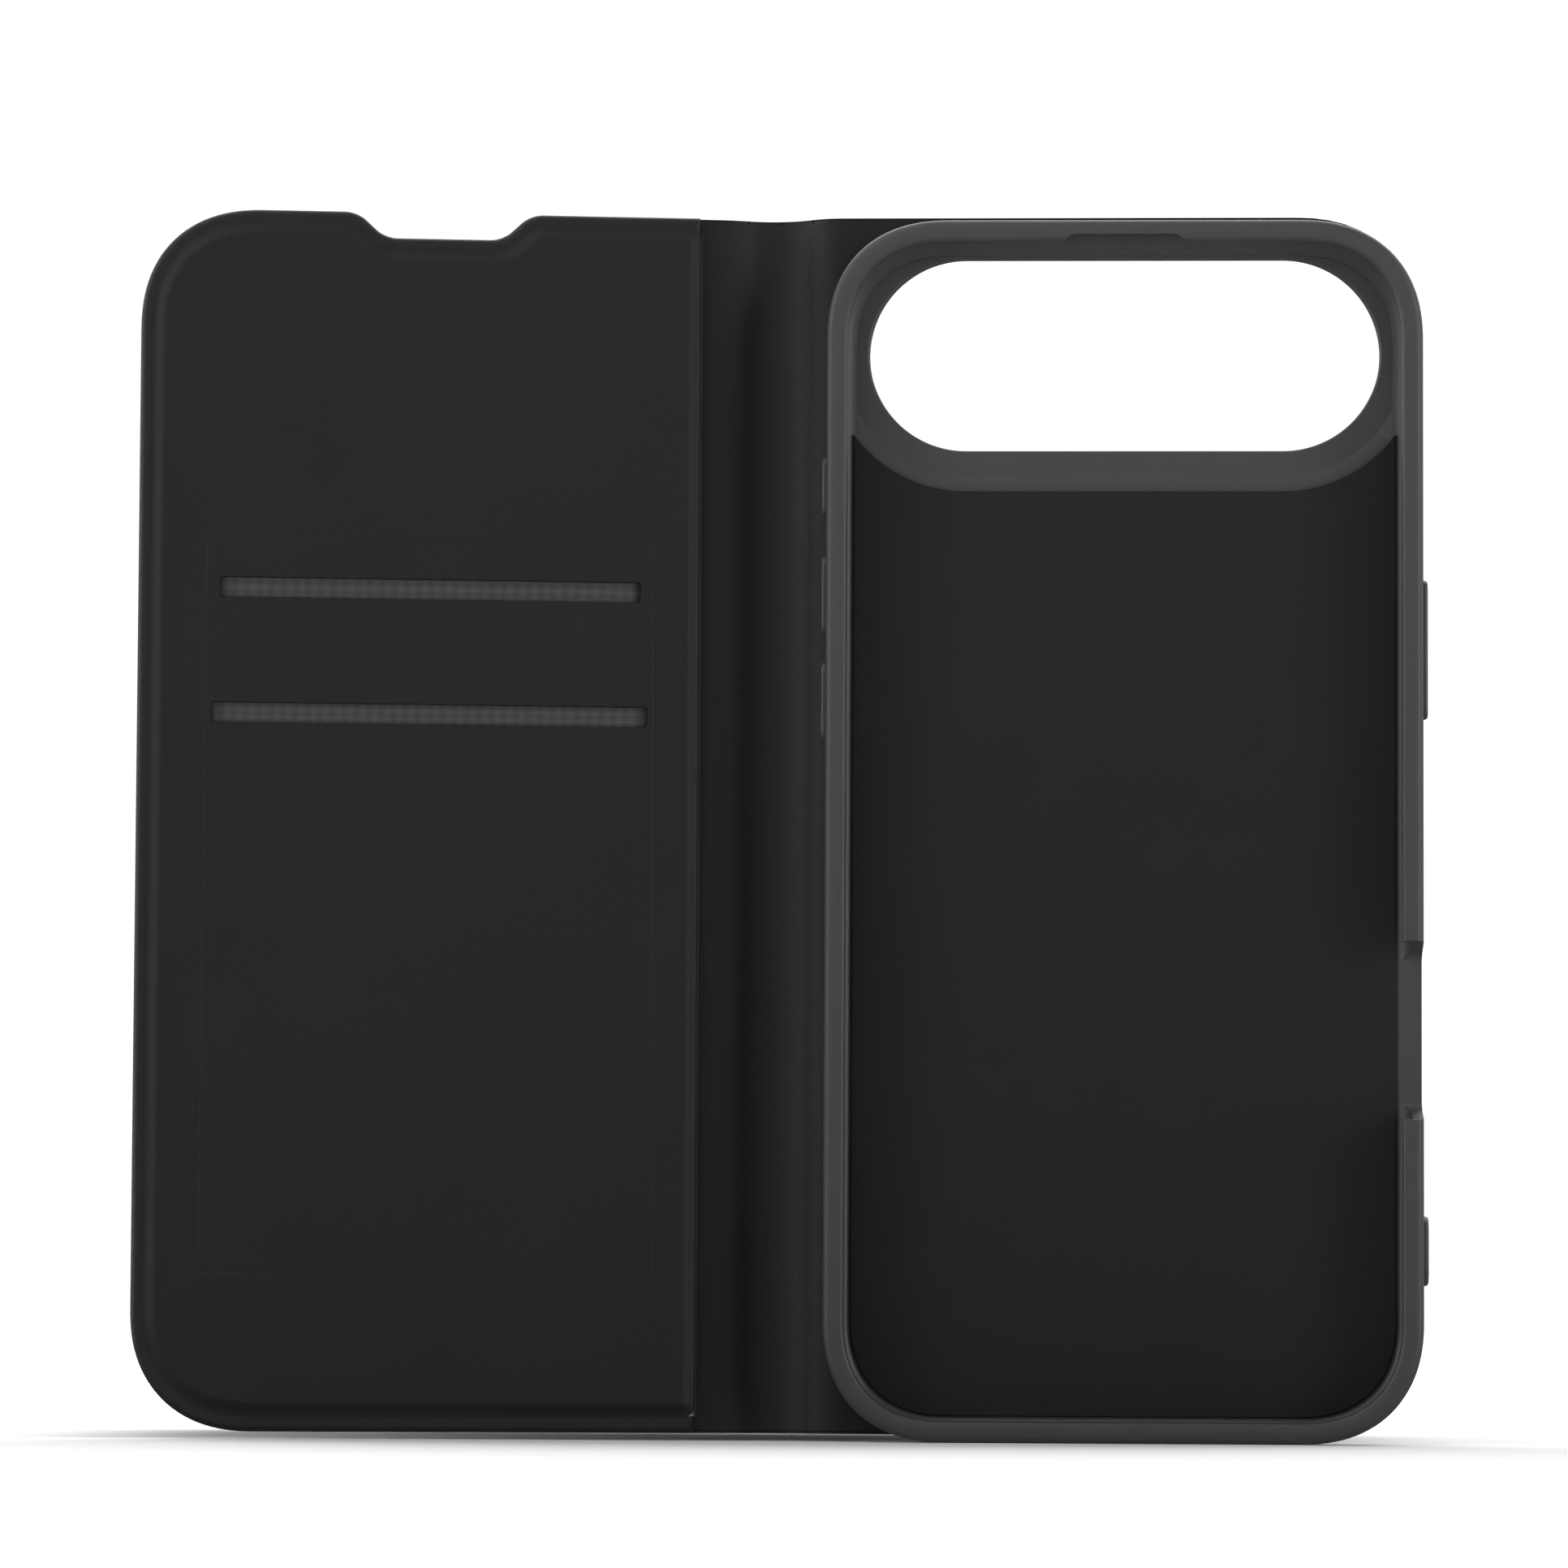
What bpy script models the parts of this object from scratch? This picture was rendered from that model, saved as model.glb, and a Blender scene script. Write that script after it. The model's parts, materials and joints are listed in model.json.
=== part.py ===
"""A book-style phone wallet case, standing open on its lower edge.

A soft plastic tray holds the phone. A folding cover with two card pockets hangs on its left
edge by a flexible spine. The wearer looks along +Y, +Z is up, and +X is the tray's side.
Lengths are in metres and angles in degrees.
"""

import math

import bmesh
import bpy
from mathutils import Vector

# Phone that the tray is made for.
PHONE_WIDTH = 0.0747
PHONE_HEIGHT = 0.1562
PHONE_DEPTH = 0.0057

# Fits and gaps.
GAP = 0.0003            # between pieces that lie on each other
PHONE_FIT = 0.0001      # between phone and tray wall, on each side
CLOSED_GAP = 0.0003     # between the closed cover and the tray's lip

# Tray.
WALL = 0.0014
CORNER = 0.016          # length of a corner's curve along each side
CORNER_POWER = 2.3      # 2 is a circle, and more is squarer
FLOOR = 0.0012
LINING = 0.0003         # lining on the tray's floor
LINING_MARGIN = 0.0045  # from the tray's outside to the lining's edge
LIP = 0.0009
LIP_WIDTH = 0.0028      # from the tray's outside to the lip's inner edge
BACK_ROUND = 0.0020     # rounding of the outer edge at the back
FRONT_ROUND = 0.0008    # rounding of the outer edge at the front
LIP_ROUND = 0.0003
FLOOR_ROUND = 0.0028    # fillet between floor and wall, as on the phone's own edge
EAR_NOTCH_HALF = 0.0080
EAR_NOTCH_DEPTH = 0.0009

# Camera window, its recess inside the tray and its frame behind it.
WINDOW_WIDTH = 0.0669
WINDOW_HEIGHT = 0.0254
WINDOW_FROM_TOP = 0.0041
RECESS_REACH = 0.0034   # flat part of the recess, out from the window
RECESS_SLOPE = 0.0019   # its sloping edge beyond that
RECESS_DEPTH = 0.0005
FRAME_REACH = 0.0026
FRAME_STANDS = 0.0010   # out of the back cover
FRAME_ROUND = 0.0006

# Keys: (name, side, distance of the upper end from the tray's top, length).
KEYS = (
    ("action_key_cap", -1, 0.0308, 0.0080),
    ("volume_up_key_cap", -1, 0.0437, 0.0106),
    ("volume_down_key_cap", -1, 0.0576, 0.0106),
    ("power_key_cap", 1, 0.0470, 0.0182),
)
KEY_WIDTH = 0.0028
KEY_STANDS = 0.00065    # out of the tray's side
KEY_SINKS = 0.0002      # its inner face behind the wall's inner face
KEY_ROUND = 0.00025

# Openings in the tray's walls.
TOUCH_CUT_ABOVE_EDGE = 0.0416
TOUCH_CUT_LENGTH = 0.0237
TOUCH_CUT_SLOPE = 0.0018
TOUCH_CUT_SILL = 0.0016  # height of wall that is left, from the tray's back
PORT_LENGTH = 0.0121
PORT_WIDTH = 0.0040
SPEAKER_LENGTH = 0.0110
SPEAKER_WIDTH = 0.0020
SPEAKER_OFFSET = 0.0175

# Magnets: one in a pad on the tray's side and one in the cover.
MAGNET = (0.0010, 0.0030, 0.0076)  # thickness, width, height
MAGNET_Z = 0.0250       # its middle above the tray's lower edge
PAD_BORDER = 0.0007
COVER_MAGNET_INSET = 0.0046

# Leather, board and cloth.
SKIN = 0.0006
SPINE_LINING = 0.0003
BOARD = 0.0017
LINER = 0.0005
LEAF = 0.0002
CARD_GAP = 0.0008
RIM = 0.0019            # turned edge of the cover around the board
LINER_INSET = 0.0023
LINER_LOWER_INSET = 0.0029
LINER_BEVEL = 0.00025
HINGE_CORNER = 0.0020   # corners of the liner beside the spine

LEATHER_RAISED = 0.00095  # its lower edge above the tray's
LEATHER_TALLER = 0.0014   # its upper edge above the tray's

# Cover.
MARGIN = 0.0041         # unpadded leather between the last fold and the liner
FREE_EDGE_SHORT = 0.0004  # free edge of the closed cover inside the tray's side
NOTCH_FROM_FREE_EDGE = 0.0395
NOTCH_BOTTOM_HALF = 0.0077
NOTCH_TOP_HALF = 0.0114
NOTCH_DEPTH = 0.0034
BACK_SKIN_INSET = 0.0003

# Card pockets, from the cover's free edge and its lower edge.
POCKET_FROM_FREE_EDGE = 0.0381
POCKET_WIDTH = 0.0592
POCKET_BOTTOM = 0.0203
POCKET_HEIGHT = 0.0965
SLOT_WIDTH = 0.0026
UPPER_SLOT = 0.1098
UPPER_SLOT_LENGTH = 0.0551
LOWER_SLOT = 0.0934
LOWER_SLOT_LENGTH = 0.0570
LEAF_BORDER = 0.0008    # from the board's window to the pocket leaves

# Folds of the spine: bends from piece to piece, at rest and with the cover closed.
REST_BENDS = (-38.0, 30.0, 34.0, -17.7)
CLOSED_BEND = 50.0      # at the first and the last fold
FOLD_CLEARANCE = 0.0004  # from the tray's side to the first fold
END_SETBACK = 0.0009    # free length of leather at the first and the last fold
MID_SETBACK = 0.0003    # and at the two folds between them

# Values that follow from the ones above.
TRAY_WIDTH = PHONE_WIDTH + 2 * (PHONE_FIT + WALL)
TRAY_HEIGHT = PHONE_HEIGHT + 2 * (PHONE_FIT + WALL)
HALF = TRAY_WIDTH / 2
TRAY_BACK = -(SKIN + GAP)
FLOOR_FRONT = TRAY_BACK - FLOOR
LINING_FRONT = FLOOR_FRONT - GAP - LINING
PHONE_FRONT = LINING_FRONT - PHONE_DEPTH
TRAY_FRONT = PHONE_FRONT - LIP
KEY_PLANE = LINING_FRONT - PHONE_DEPTH / 2
WINDOW_MIDDLE = TRAY_HEIGHT - WINDOW_FROM_TOP - WINDOW_HEIGHT / 2
SPINE = SKIN + GAP + SPINE_LINING
SPINE_HALF = SPINE / 2
COVER_OUTER = SPINE_HALF
BOARD_BACK = COVER_OUTER - SKIN - GAP
BOARD_FRONT = BOARD_BACK - BOARD
DIVIDER_BACK = BOARD_BACK - LEAF - CARD_GAP
LINER_BACK = min(DIVIDER_BACK - LEAF - CARD_GAP, BOARD_FRONT - GAP)
LINER_FRONT = LINER_BACK - LINER
FOLD_X = -HALF - FOLD_CLEARANCE
FOLD_Y = -SPINE_HALF
CLOSED_DEPTH = FOLD_Y - (TRAY_FRONT - CLOSED_GAP + LINER_FRONT)
STRIP = CLOSED_DEPTH / (1 + 2 * math.sin(math.radians(CLOSED_BEND)))
COVER_WIDTH = HALF - FREE_EDGE_SHORT - FOLD_X
FREE_EDGE = -COVER_WIDTH
LINER_EDGE = -MARGIN
NOTCH_X = FREE_EDGE + NOTCH_FROM_FREE_EDGE
LEATHER_LOW = LEATHER_RAISED
LEATHER_HIGH = TRAY_HEIGHT + LEATHER_TALLER
POCKET_X = FREE_EDGE + POCKET_FROM_FREE_EDGE

CORNER_STEPS = 9
END_STEPS = 12
ROUND_STEPS = 3
CUT = 0.002             # how far cutters run past what they cut
TINY_MERGE = 0.00001

materials = {}


def material(name, grey, roughness, metallic=0.0):
    """A plain Principled material in a neutral grey."""
    if name not in materials:
        made = bpy.data.materials.new(name)
        made.use_nodes = True
        shader = made.node_tree.nodes["Principled BSDF"]
        shader.inputs["Base Color"].default_value = (grey, grey, grey, 1.0)
        shader.inputs["Roughness"].default_value = roughness
        shader.inputs["Metallic"].default_value = metallic
        materials[name] = made
    return materials[name]


def leather():
    return material("black_leather", 0.022, 0.55)


def soft_plastic():
    return material("soft_plastic", 0.055, 0.45)


def pocket_cloth():
    return material("pocket_cloth", 0.060, 0.85)


def lining_cloth():
    return material("lining_cloth", 0.018, 0.90)


def grey_board():
    return material("grey_board", 0.200, 0.90)


def magnet_plating():
    return material("magnet_plating", 0.500, 0.30, 1.0)


def corner_curve(centre, size, turn):
    """A rounded corner from the direction `turn` quarter turns on, counterclockwise."""
    points = []
    for step in range(CORNER_STEPS + 1):
        angle = math.radians(90 * step / CORNER_STEPS)
        along = size * math.cos(angle) ** (2 / CORNER_POWER)
        up = size * math.sin(angle) ** (2 / CORNER_POWER)
        for _ in range(turn):
            along, up = -up, along
        points.append((centre[0] + along, centre[1] + up))
    return points


def panel_outline(x0, x1, z0, z1, left, right):
    """A panel's outline, counterclockwise, with its corners' sizes on each side."""
    points = []
    for turn, (x, z, size) in enumerate(
        ((x1, z1, right), (x0, z1, left), (x0, z0, left), (x1, z0, right))
    ):
        inward = (-1 if x == x1 else 1, -1 if z == z1 else 1)
        if size <= 0:
            points.append((x, z))
        else:
            centre = (x + inward[0] * size, z + inward[1] * size)
            points += corner_curve(centre, size, turn)
    return points


def tray_outline(inset):
    """The tray's outline, or one that lies inside it by `inset` all round."""
    size = CORNER - inset
    return panel_outline(-HALF + inset, HALF - inset, inset, TRAY_HEIGHT - inset, size, size)


def with_notch(points, top, inset):
    """Cuts the sloping-sided notch into an outline's upper edge, deeper by `inset`."""
    slope = math.atan2(NOTCH_DEPTH, NOTCH_TOP_HALF - NOTCH_BOTTOM_HALF)
    wider = inset * math.tan(slope / 2)
    bottom = top - NOTCH_DEPTH
    notch = [
        (NOTCH_X + NOTCH_TOP_HALF + wider, top),
        (NOTCH_X + NOTCH_BOTTOM_HALF + wider, bottom),
        (NOTCH_X - NOTCH_BOTTOM_HALF - wider, bottom),
        (NOTCH_X - NOTCH_TOP_HALF - wider, top),
    ]
    after = next(
        i for i, (x, z) in enumerate(points) if x < NOTCH_X and abs(z - top) < TINY_MERGE
    )
    return points[:after] + notch + points[after:]


def cover_outline(inset, hinge_side, hinge_corner=0.0, lower_inset=None):
    """The cover's outline inside its edge by `inset`; `hinge_side` is its edge by the spine."""
    low = LEATHER_LOW + (inset if lower_inset is None else lower_inset)
    high = LEATHER_HIGH - inset
    points = panel_outline(
        FREE_EDGE + inset, hinge_side, low, high, CORNER - inset, hinge_corner
    )
    return with_notch(points, high, inset)


def stadium(middle, length, height, reach=0.0):
    """A shape with round ends, around (x, z), grown by `reach`."""
    radius = height / 2 + reach
    straight = (length - height) / 2
    points = []
    for side in (1, -1):
        for step in range(END_STEPS + 1):
            angle = math.radians(180 * step / END_STEPS - 90)
            points.append(
                (
                    middle[0] + side * (straight + radius * math.cos(angle)),
                    middle[1] + side * radius * math.sin(angle),
                )
            )
    return points


def rectangle(x0, x1, z0, z1):
    return [(x0, z0), (x1, z0), (x1, z1), (x0, z1)]


def quarter_round(depth, size):
    """Offsets (inset, depth) along a quarter circle, from the side to the front."""
    steps = []
    for step in range(1, ROUND_STEPS + 1):
        angle = math.radians(90 * step / ROUND_STEPS)
        steps.append((size * (1 - math.cos(angle)), depth - size * math.sin(angle)))
    return steps


def add_object(name, bm, finish, parent=None):
    """Turns a bmesh into a named object with one material, on its parent's axis."""
    bmesh.ops.recalc_face_normals(bm, faces=bm.faces)
    mesh = bpy.data.meshes.new(name)
    bm.to_mesh(mesh)
    bm.free()
    obj = bpy.data.objects.new(name, mesh)
    bpy.context.scene.collection.objects.link(obj)
    if finish:
        mesh.materials.append(finish)
        mesh.shade_smooth()
        mesh.set_sharp_from_angle(angle=math.radians(30))
    obj.parent = parent
    return obj


def loft(name, rings, finish, parent=None, axis="Y"):
    """A closed solid through rings, each an outline and its place along `axis`."""
    bm = bmesh.new()
    loops = []
    for points, place in rings:
        if axis == "Y":
            loops.append([bm.verts.new((x, place, z)) for x, z in points])
        elif axis == "X":
            loops.append([bm.verts.new((place, y, z)) for y, z in points])
        else:
            loops.append([bm.verts.new((x, y, place)) for x, y in points])
    for lower, upper in zip(loops, loops[1:]):
        for here, there in zip(range(-1, len(lower) - 1), range(len(lower))):
            bm.faces.new((lower[here], lower[there], upper[there], upper[here]))
    bm.faces.new(loops[0])
    bm.faces.new(loops[-1])
    return add_object(name, bm, finish, parent)


def plate(name, outline, back, front, finish, parent=None):
    return loft(name, ((outline, back), (outline, front)), finish, parent)


def boolean(obj, tool, operation="DIFFERENCE"):
    """Cuts, joins or intersects `obj` with `tool`, which is then only a helper."""
    tool.hide_render = True
    tool.display_type = "WIRE"
    modifier = obj.modifiers.new(f"{operation.lower()}_{tool.name}", "BOOLEAN")
    modifier.operation = operation
    modifier.object = tool
    modifier.solver = "EXACT"


def cut_plate(obj, name, outline, back, front):
    """Cuts a straight-sided hole along Y through `obj`."""
    boolean(obj, plate(name, outline, back + CUT, front - CUT, None, obj.parent))


def wall_block(name, side, z0, z1, inner, outer, width, finish=None, parent=None, corner=0.0):
    """A block with round ends that lies across a side wall, between two depths into it."""
    outline = stadium((KEY_PLANE, 0.0), width, width)
    half = (z1 - z0) / 2 - width / 2
    middle = (z0 + z1) / 2
    turned = [
        (y, middle + z + (half if z > 0 else -half)) for y, z in outline if abs(z) > TINY_MERGE
    ]
    rings = [(turned, side * (HALF - inner)), (turned, side * (HALF + outer - corner))]
    if corner:
        small = [
            (
                KEY_PLANE + (y - KEY_PLANE) * (1 - 2 * corner / width),
                middle + (z - middle) * (1 - 2 * corner / (z1 - z0)),
            )
            for y, z in turned
        ]
        rings.append((small, side * (HALF + outer)))
    return loft(name, rings, finish, parent, axis="X")


def make_tray_shell(parent):
    """The moulded tray: floor, walls and lip from one lofted section, then its openings."""
    profile = [(BACK_ROUND, TRAY_BACK)]
    for step in range(1, 5):
        angle = math.radians(90 * step / 4)
        profile.append(
            (
                BACK_ROUND * (1 - math.sin(angle)),
                TRAY_BACK - BACK_ROUND * (1 - math.cos(angle)),
            )
        )
    profile.append((0.0, TRAY_FRONT + FRONT_ROUND))
    profile += quarter_round(TRAY_FRONT + FRONT_ROUND, FRONT_ROUND)
    profile.append((LIP_WIDTH - LIP_ROUND, TRAY_FRONT))
    profile.append((LIP_WIDTH, TRAY_FRONT + LIP_ROUND))
    profile.append((LIP_WIDTH, PHONE_FRONT))
    profile.append((WALL, PHONE_FRONT))
    for step in range(ROUND_STEPS + 2):
        angle = math.radians(90 * step / (ROUND_STEPS + 1))
        profile.append(
            (
                WALL + FLOOR_ROUND * (1 - math.cos(angle)),
                FLOOR_FRONT - FLOOR_ROUND * (1 - math.sin(angle)),
            )
        )
    rings = [(tray_outline(inset), depth) for inset, depth in profile]
    shell = loft("tray_shell", rings, soft_plastic(), parent)

    window = ((0.0, WINDOW_MIDDLE), WINDOW_WIDTH, WINDOW_HEIGHT)
    frame_back = FRAME_STANDS
    frame = loft(
        "camera_frame_body",
        (
            (stadium(*window, FRAME_REACH), (TRAY_BACK + FLOOR_FRONT) / 2),
            (stadium(*window, FRAME_REACH), frame_back - FRAME_ROUND),
            (stadium(*window, FRAME_REACH - FRAME_ROUND), frame_back),
        ),
        None,
        parent,
    )
    boolean(shell, frame, "UNION")

    recess = loft(
        "camera_recess_cutter",
        (
            (stadium(*window, RECESS_REACH), FLOOR_FRONT + RECESS_DEPTH),
            (stadium(*window, RECESS_REACH + RECESS_SLOPE), FLOOR_FRONT - TINY_MERGE),
            (stadium(*window, RECESS_REACH + RECESS_SLOPE), FLOOR_FRONT - LINING),
        ),
        None,
        parent,
    )
    inside = plate(
        "tray_inside", tray_outline(WALL + FLOOR_ROUND), TRAY_BACK, PHONE_FRONT, None, parent
    )
    boolean(recess, inside, "INTERSECT")
    boolean(shell, recess)
    cut_plate(shell, "camera_window_cutter", stadium(*window), frame_back, FLOOR_FRONT)

    notch_front = TRAY_HEIGHT - LIP_WIDTH + EAR_NOTCH_DEPTH
    notch_edge = TRAY_HEIGHT - LIP_WIDTH - CUT
    ear_notch = [
        (-EAR_NOTCH_HALF - CUT, notch_edge),
        (EAR_NOTCH_HALF + CUT, notch_edge),
        (EAR_NOTCH_HALF - EAR_NOTCH_DEPTH, notch_front),
        (-EAR_NOTCH_HALF + EAR_NOTCH_DEPTH, notch_front),
    ]
    boolean(
        shell,
        plate("ear_notch_cutter", ear_notch, PHONE_FRONT + GAP, TRAY_FRONT - CUT, None, parent),
    )

    bottom = TOUCH_CUT_ABOVE_EDGE
    top = bottom + TOUCH_CUT_LENGTH
    sill = TRAY_BACK - TOUCH_CUT_SILL
    slope = TOUCH_CUT_SLOPE
    touch_outline = [
        (sill, bottom + slope),
        (sill, top - slope),
        (TRAY_FRONT - CUT, top),
        (TRAY_FRONT - CUT, bottom),
    ]
    touch_cutter = loft(
        "touch_cut_cutter",
        ((touch_outline, HALF - LIP_WIDTH - CUT), (touch_outline, HALF + CUT)),
        None,
        parent,
        axis="X",
    )
    boolean(shell, touch_cutter)

    for name, offset, length, width in (
        ("port_cutter", 0.0, PORT_LENGTH, PORT_WIDTH),
        ("left_speaker_cutter", -SPEAKER_OFFSET, SPEAKER_LENGTH, SPEAKER_WIDTH),
        ("right_speaker_cutter", SPEAKER_OFFSET, SPEAKER_LENGTH, SPEAKER_WIDTH),
    ):
        outline = stadium((offset, KEY_PLANE), length, width)
        cutter = loft(name, ((outline, -CUT), (outline, WALL + CUT / 2)), None, parent, axis="Z")
        boolean(shell, cutter)
    return shell


def make_keys(shell, parent):
    """The four key caps, each in its own window in the side wall."""
    for name, side, from_top, length in KEYS:
        top = TRAY_HEIGHT - from_top
        bottom = top - length
        window = wall_block(
            f"{name}_window", side, bottom - GAP, top + GAP, WALL + CUT, CUT, KEY_WIDTH + 2 * GAP
        )
        window.parent = parent
        boolean(shell, window)
        axis = bpy.data.objects.new(f"{name}_slide", None)
        axis.location = (side * HALF, KEY_PLANE, (top + bottom) / 2)
        axis.parent = parent
        bpy.context.scene.collection.objects.link(axis)
        cap = wall_block(
            name, side, bottom, top, WALL - KEY_SINKS, KEY_STANDS, KEY_WIDTH,
            soft_plastic(), axis, KEY_ROUND,
        )
        cap.location = -axis.location


def make_tray_magnet(shell, parent):
    """The magnet, in a pocket that opens into the tray, behind a pad on the wall."""
    thickness, width, height = MAGNET
    bottom, top = MAGNET_Z - height / 2, MAGNET_Z + height / 2
    pad = wall_block(
        "magnet_pad", 1, bottom - PAD_BORDER, top + PAD_BORDER, WALL / 2, KEY_STANDS,
        width + 2 * PAD_BORDER, corner=KEY_ROUND,
    )
    pad.parent = parent
    boolean(shell, pad, "UNION")
    inner = HALF - WALL
    pocket = loft(
        "magnet_pocket_cutter",
        tuple(
            (
                rectangle(
                    KEY_PLANE - width / 2 - GAP, KEY_PLANE + width / 2 + GAP,
                    bottom - GAP, top + GAP,
                ),
                place,
            )
            for place in (inner - CUT / 2, inner + thickness + GAP)
        ),
        None,
        parent,
        axis="X",
    )
    boolean(shell, pocket)
    outline = rectangle(KEY_PLANE - width / 2, KEY_PLANE + width / 2, bottom, top)
    loft(
        "tray_magnet",
        ((outline, inner), (outline, inner + thickness)),
        magnet_plating(),
        parent,
        axis="X",
    )


def make_floor_lining(parent):
    """The lining on the tray's floor, below the camera recess."""
    lining = plate(
        "tray_floor_lining",
        tray_outline(LINING_MARGIN),
        FLOOR_FRONT - GAP,
        LINING_FRONT,
        lining_cloth(),
        parent,
    )
    window = ((0.0, WINDOW_MIDDLE), WINDOW_WIDTH, WINDOW_HEIGHT)
    edge = stadium(*window, RECESS_REACH + RECESS_SLOPE + GAP)
    cut_plate(lining, "lining_recess_cutter", edge, FLOOR_FRONT, LINING_FRONT)
    above = rectangle(-HALF, HALF, WINDOW_MIDDLE, TRAY_HEIGHT)
    cut_plate(lining, "lining_top_cutter", above, FLOOR_FRONT, LINING_FRONT)


def make_back_skin(parent):
    """The leather on the tray's back, with a window around the camera frame."""
    outline = panel_outline(
        FOLD_X + END_SETBACK, HALF - BACK_SKIN_INSET, LEATHER_LOW, LEATHER_HIGH, 0.0, CORNER
    )
    skin = plate("back_cover_skin", outline, 0.0, -SKIN, leather(), parent)
    window = ((0.0, WINDOW_MIDDLE), WINDOW_WIDTH, WINDOW_HEIGHT)
    cut_plate(skin, "skin_window_cutter", stadium(*window, FRAME_REACH + GAP), 0.0, -SKIN)


def make_spine_strip(place, parent, near, far):
    """One strip of the spine, flat from its fold at X = 0 towards -X: leather and lining."""
    outline = rectangle(-STRIP + far, -near, LEATHER_LOW, LEATHER_HIGH)
    plate(f"spine_{place}_skin", outline, SPINE_HALF, SPINE_HALF - SKIN, leather(), parent)
    plate(
        f"spine_{place}_lining",
        outline,
        -SPINE_HALF + SPINE_LINING,
        -SPINE_HALF,
        leather(),
        parent,
    )


def make_cover_skin(parent):
    """The cover's leather, turned up round the board on its three outer edges."""
    skin = plate(
        "front_cover_skin",
        cover_outline(0.0, -END_SETBACK),
        COVER_OUTER,
        BOARD_FRONT,
        leather(),
        parent,
    )
    hollow = cover_outline(RIM, CUT)
    cut_plate(skin, "cover_hollow_cutter", hollow, COVER_OUTER - SKIN - CUT, BOARD_FRONT)


def make_board(parent):
    """The stiffening board, with a window for the card pockets and one for the magnet."""
    board = plate(
        "front_stiffener_board",
        cover_outline(RIM + GAP, LINER_EDGE - GAP),
        BOARD_BACK,
        BOARD_FRONT,
        grey_board(),
        parent,
    )
    half = POCKET_WIDTH / 2
    bottom = LEATHER_LOW + POCKET_BOTTOM
    pocket = rectangle(POCKET_X - half, POCKET_X + half, bottom, bottom + POCKET_HEIGHT)
    cut_plate(board, "pocket_window_cutter", pocket, BOARD_BACK, BOARD_FRONT)
    thickness, width, height = MAGNET
    x = FREE_EDGE + COVER_MAGNET_INSET
    seat = rectangle(
        x - width / 2 - GAP, x + width / 2 + GAP,
        MAGNET_Z - height / 2 - GAP, MAGNET_Z + height / 2 + GAP,
    )
    cut_plate(board, "magnet_window_cutter", seat, BOARD_BACK, BOARD_FRONT)
    outline = rectangle(
        x - width / 2, x + width / 2, MAGNET_Z - height / 2, MAGNET_Z + height / 2
    )
    plate(
        "cover_magnet", outline, BOARD_FRONT + thickness, BOARD_FRONT, magnet_plating(), parent
    )


def make_pocket_leaves(parent):
    """Cloth behind the upper slot, and a leaf between the two cards."""
    half = POCKET_WIDTH / 2 - LEAF_BORDER
    bottom = LEATHER_LOW + POCKET_BOTTOM + LEAF_BORDER
    top = LEATHER_LOW + POCKET_BOTTOM + POCKET_HEIGHT - LEAF_BORDER
    backing = rectangle(POCKET_X - half, POCKET_X + half, bottom, top)
    plate("pocket_backing", backing, BOARD_BACK, BOARD_BACK - LEAF, pocket_cloth(), parent)
    divider_top = LEATHER_LOW + (UPPER_SLOT + LOWER_SLOT) / 2
    divider = rectangle(POCKET_X - half, POCKET_X + half, bottom, divider_top)
    plate("pocket_divider", divider, DIVIDER_BACK, DIVIDER_BACK - LEAF, pocket_cloth(), parent)


def make_liner(parent):
    """The cover's inner panel, with the two card slots cut through it."""
    rings = []
    for bevel, place in (
        (0.0, LINER_BACK), (0.0, LINER_FRONT + LINER_BEVEL), (LINER_BEVEL, LINER_FRONT)
    ):
        outline = cover_outline(
            LINER_INSET + bevel, LINER_EDGE - bevel, HINGE_CORNER, LINER_LOWER_INSET + bevel
        )
        rings.append((outline, place))
    liner = loft("front_liner_panel", rings, leather(), parent)
    for name, above, length in (
        ("upper_slot_cutter", UPPER_SLOT, UPPER_SLOT_LENGTH),
        ("lower_slot_cutter", LOWER_SLOT, LOWER_SLOT_LENGTH),
    ):
        z = LEATHER_LOW + above
        slot = rectangle(
            POCKET_X - length / 2, POCKET_X + length / 2, z - SLOT_WIDTH / 2, z + SLOT_WIDTH / 2
        )
        cut_plate(liner, name, slot, LINER_BACK, LINER_FRONT)


def make_margin_lining(parent):
    """The spine's lining where it runs on from the last fold to the board."""
    border = RIM + GAP
    outline = rectangle(LINER_EDGE, -END_SETBACK, LEATHER_LOW + border, LEATHER_HIGH - border)
    plate(
        "cover_margin_lining",
        outline,
        -SPINE_HALF + SPINE_LINING,
        -SPINE_HALF,
        leather(),
        parent,
    )


def fold_axis(name, location, bend, parent):
    """An empty on a fold of the spine, turned by the fold's bend at rest."""
    axis = bpy.data.objects.new(name, None)
    axis.location = location
    axis.rotation_euler.z = math.radians(bend)
    axis.parent = parent
    bpy.context.scene.collection.objects.link(axis)
    return axis


def stand_on_origin(root):
    """Moves the case so that the middle of its bounding box's lower face is the origin."""
    bpy.context.view_layer.update()
    graph = bpy.context.evaluated_depsgraph_get()
    corners = []
    for obj in bpy.context.scene.objects:
        if obj.type == "MESH" and not obj.hide_render:
            made = obj.evaluated_get(graph)
            corners += [made.matrix_world @ vertex.co for vertex in made.data.vertices]
    low = Vector(map(min, *corners))
    high = Vector(map(max, *corners))
    root.location = -Vector(((low.x + high.x) / 2, (low.y + high.y) / 2, low.z))


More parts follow.
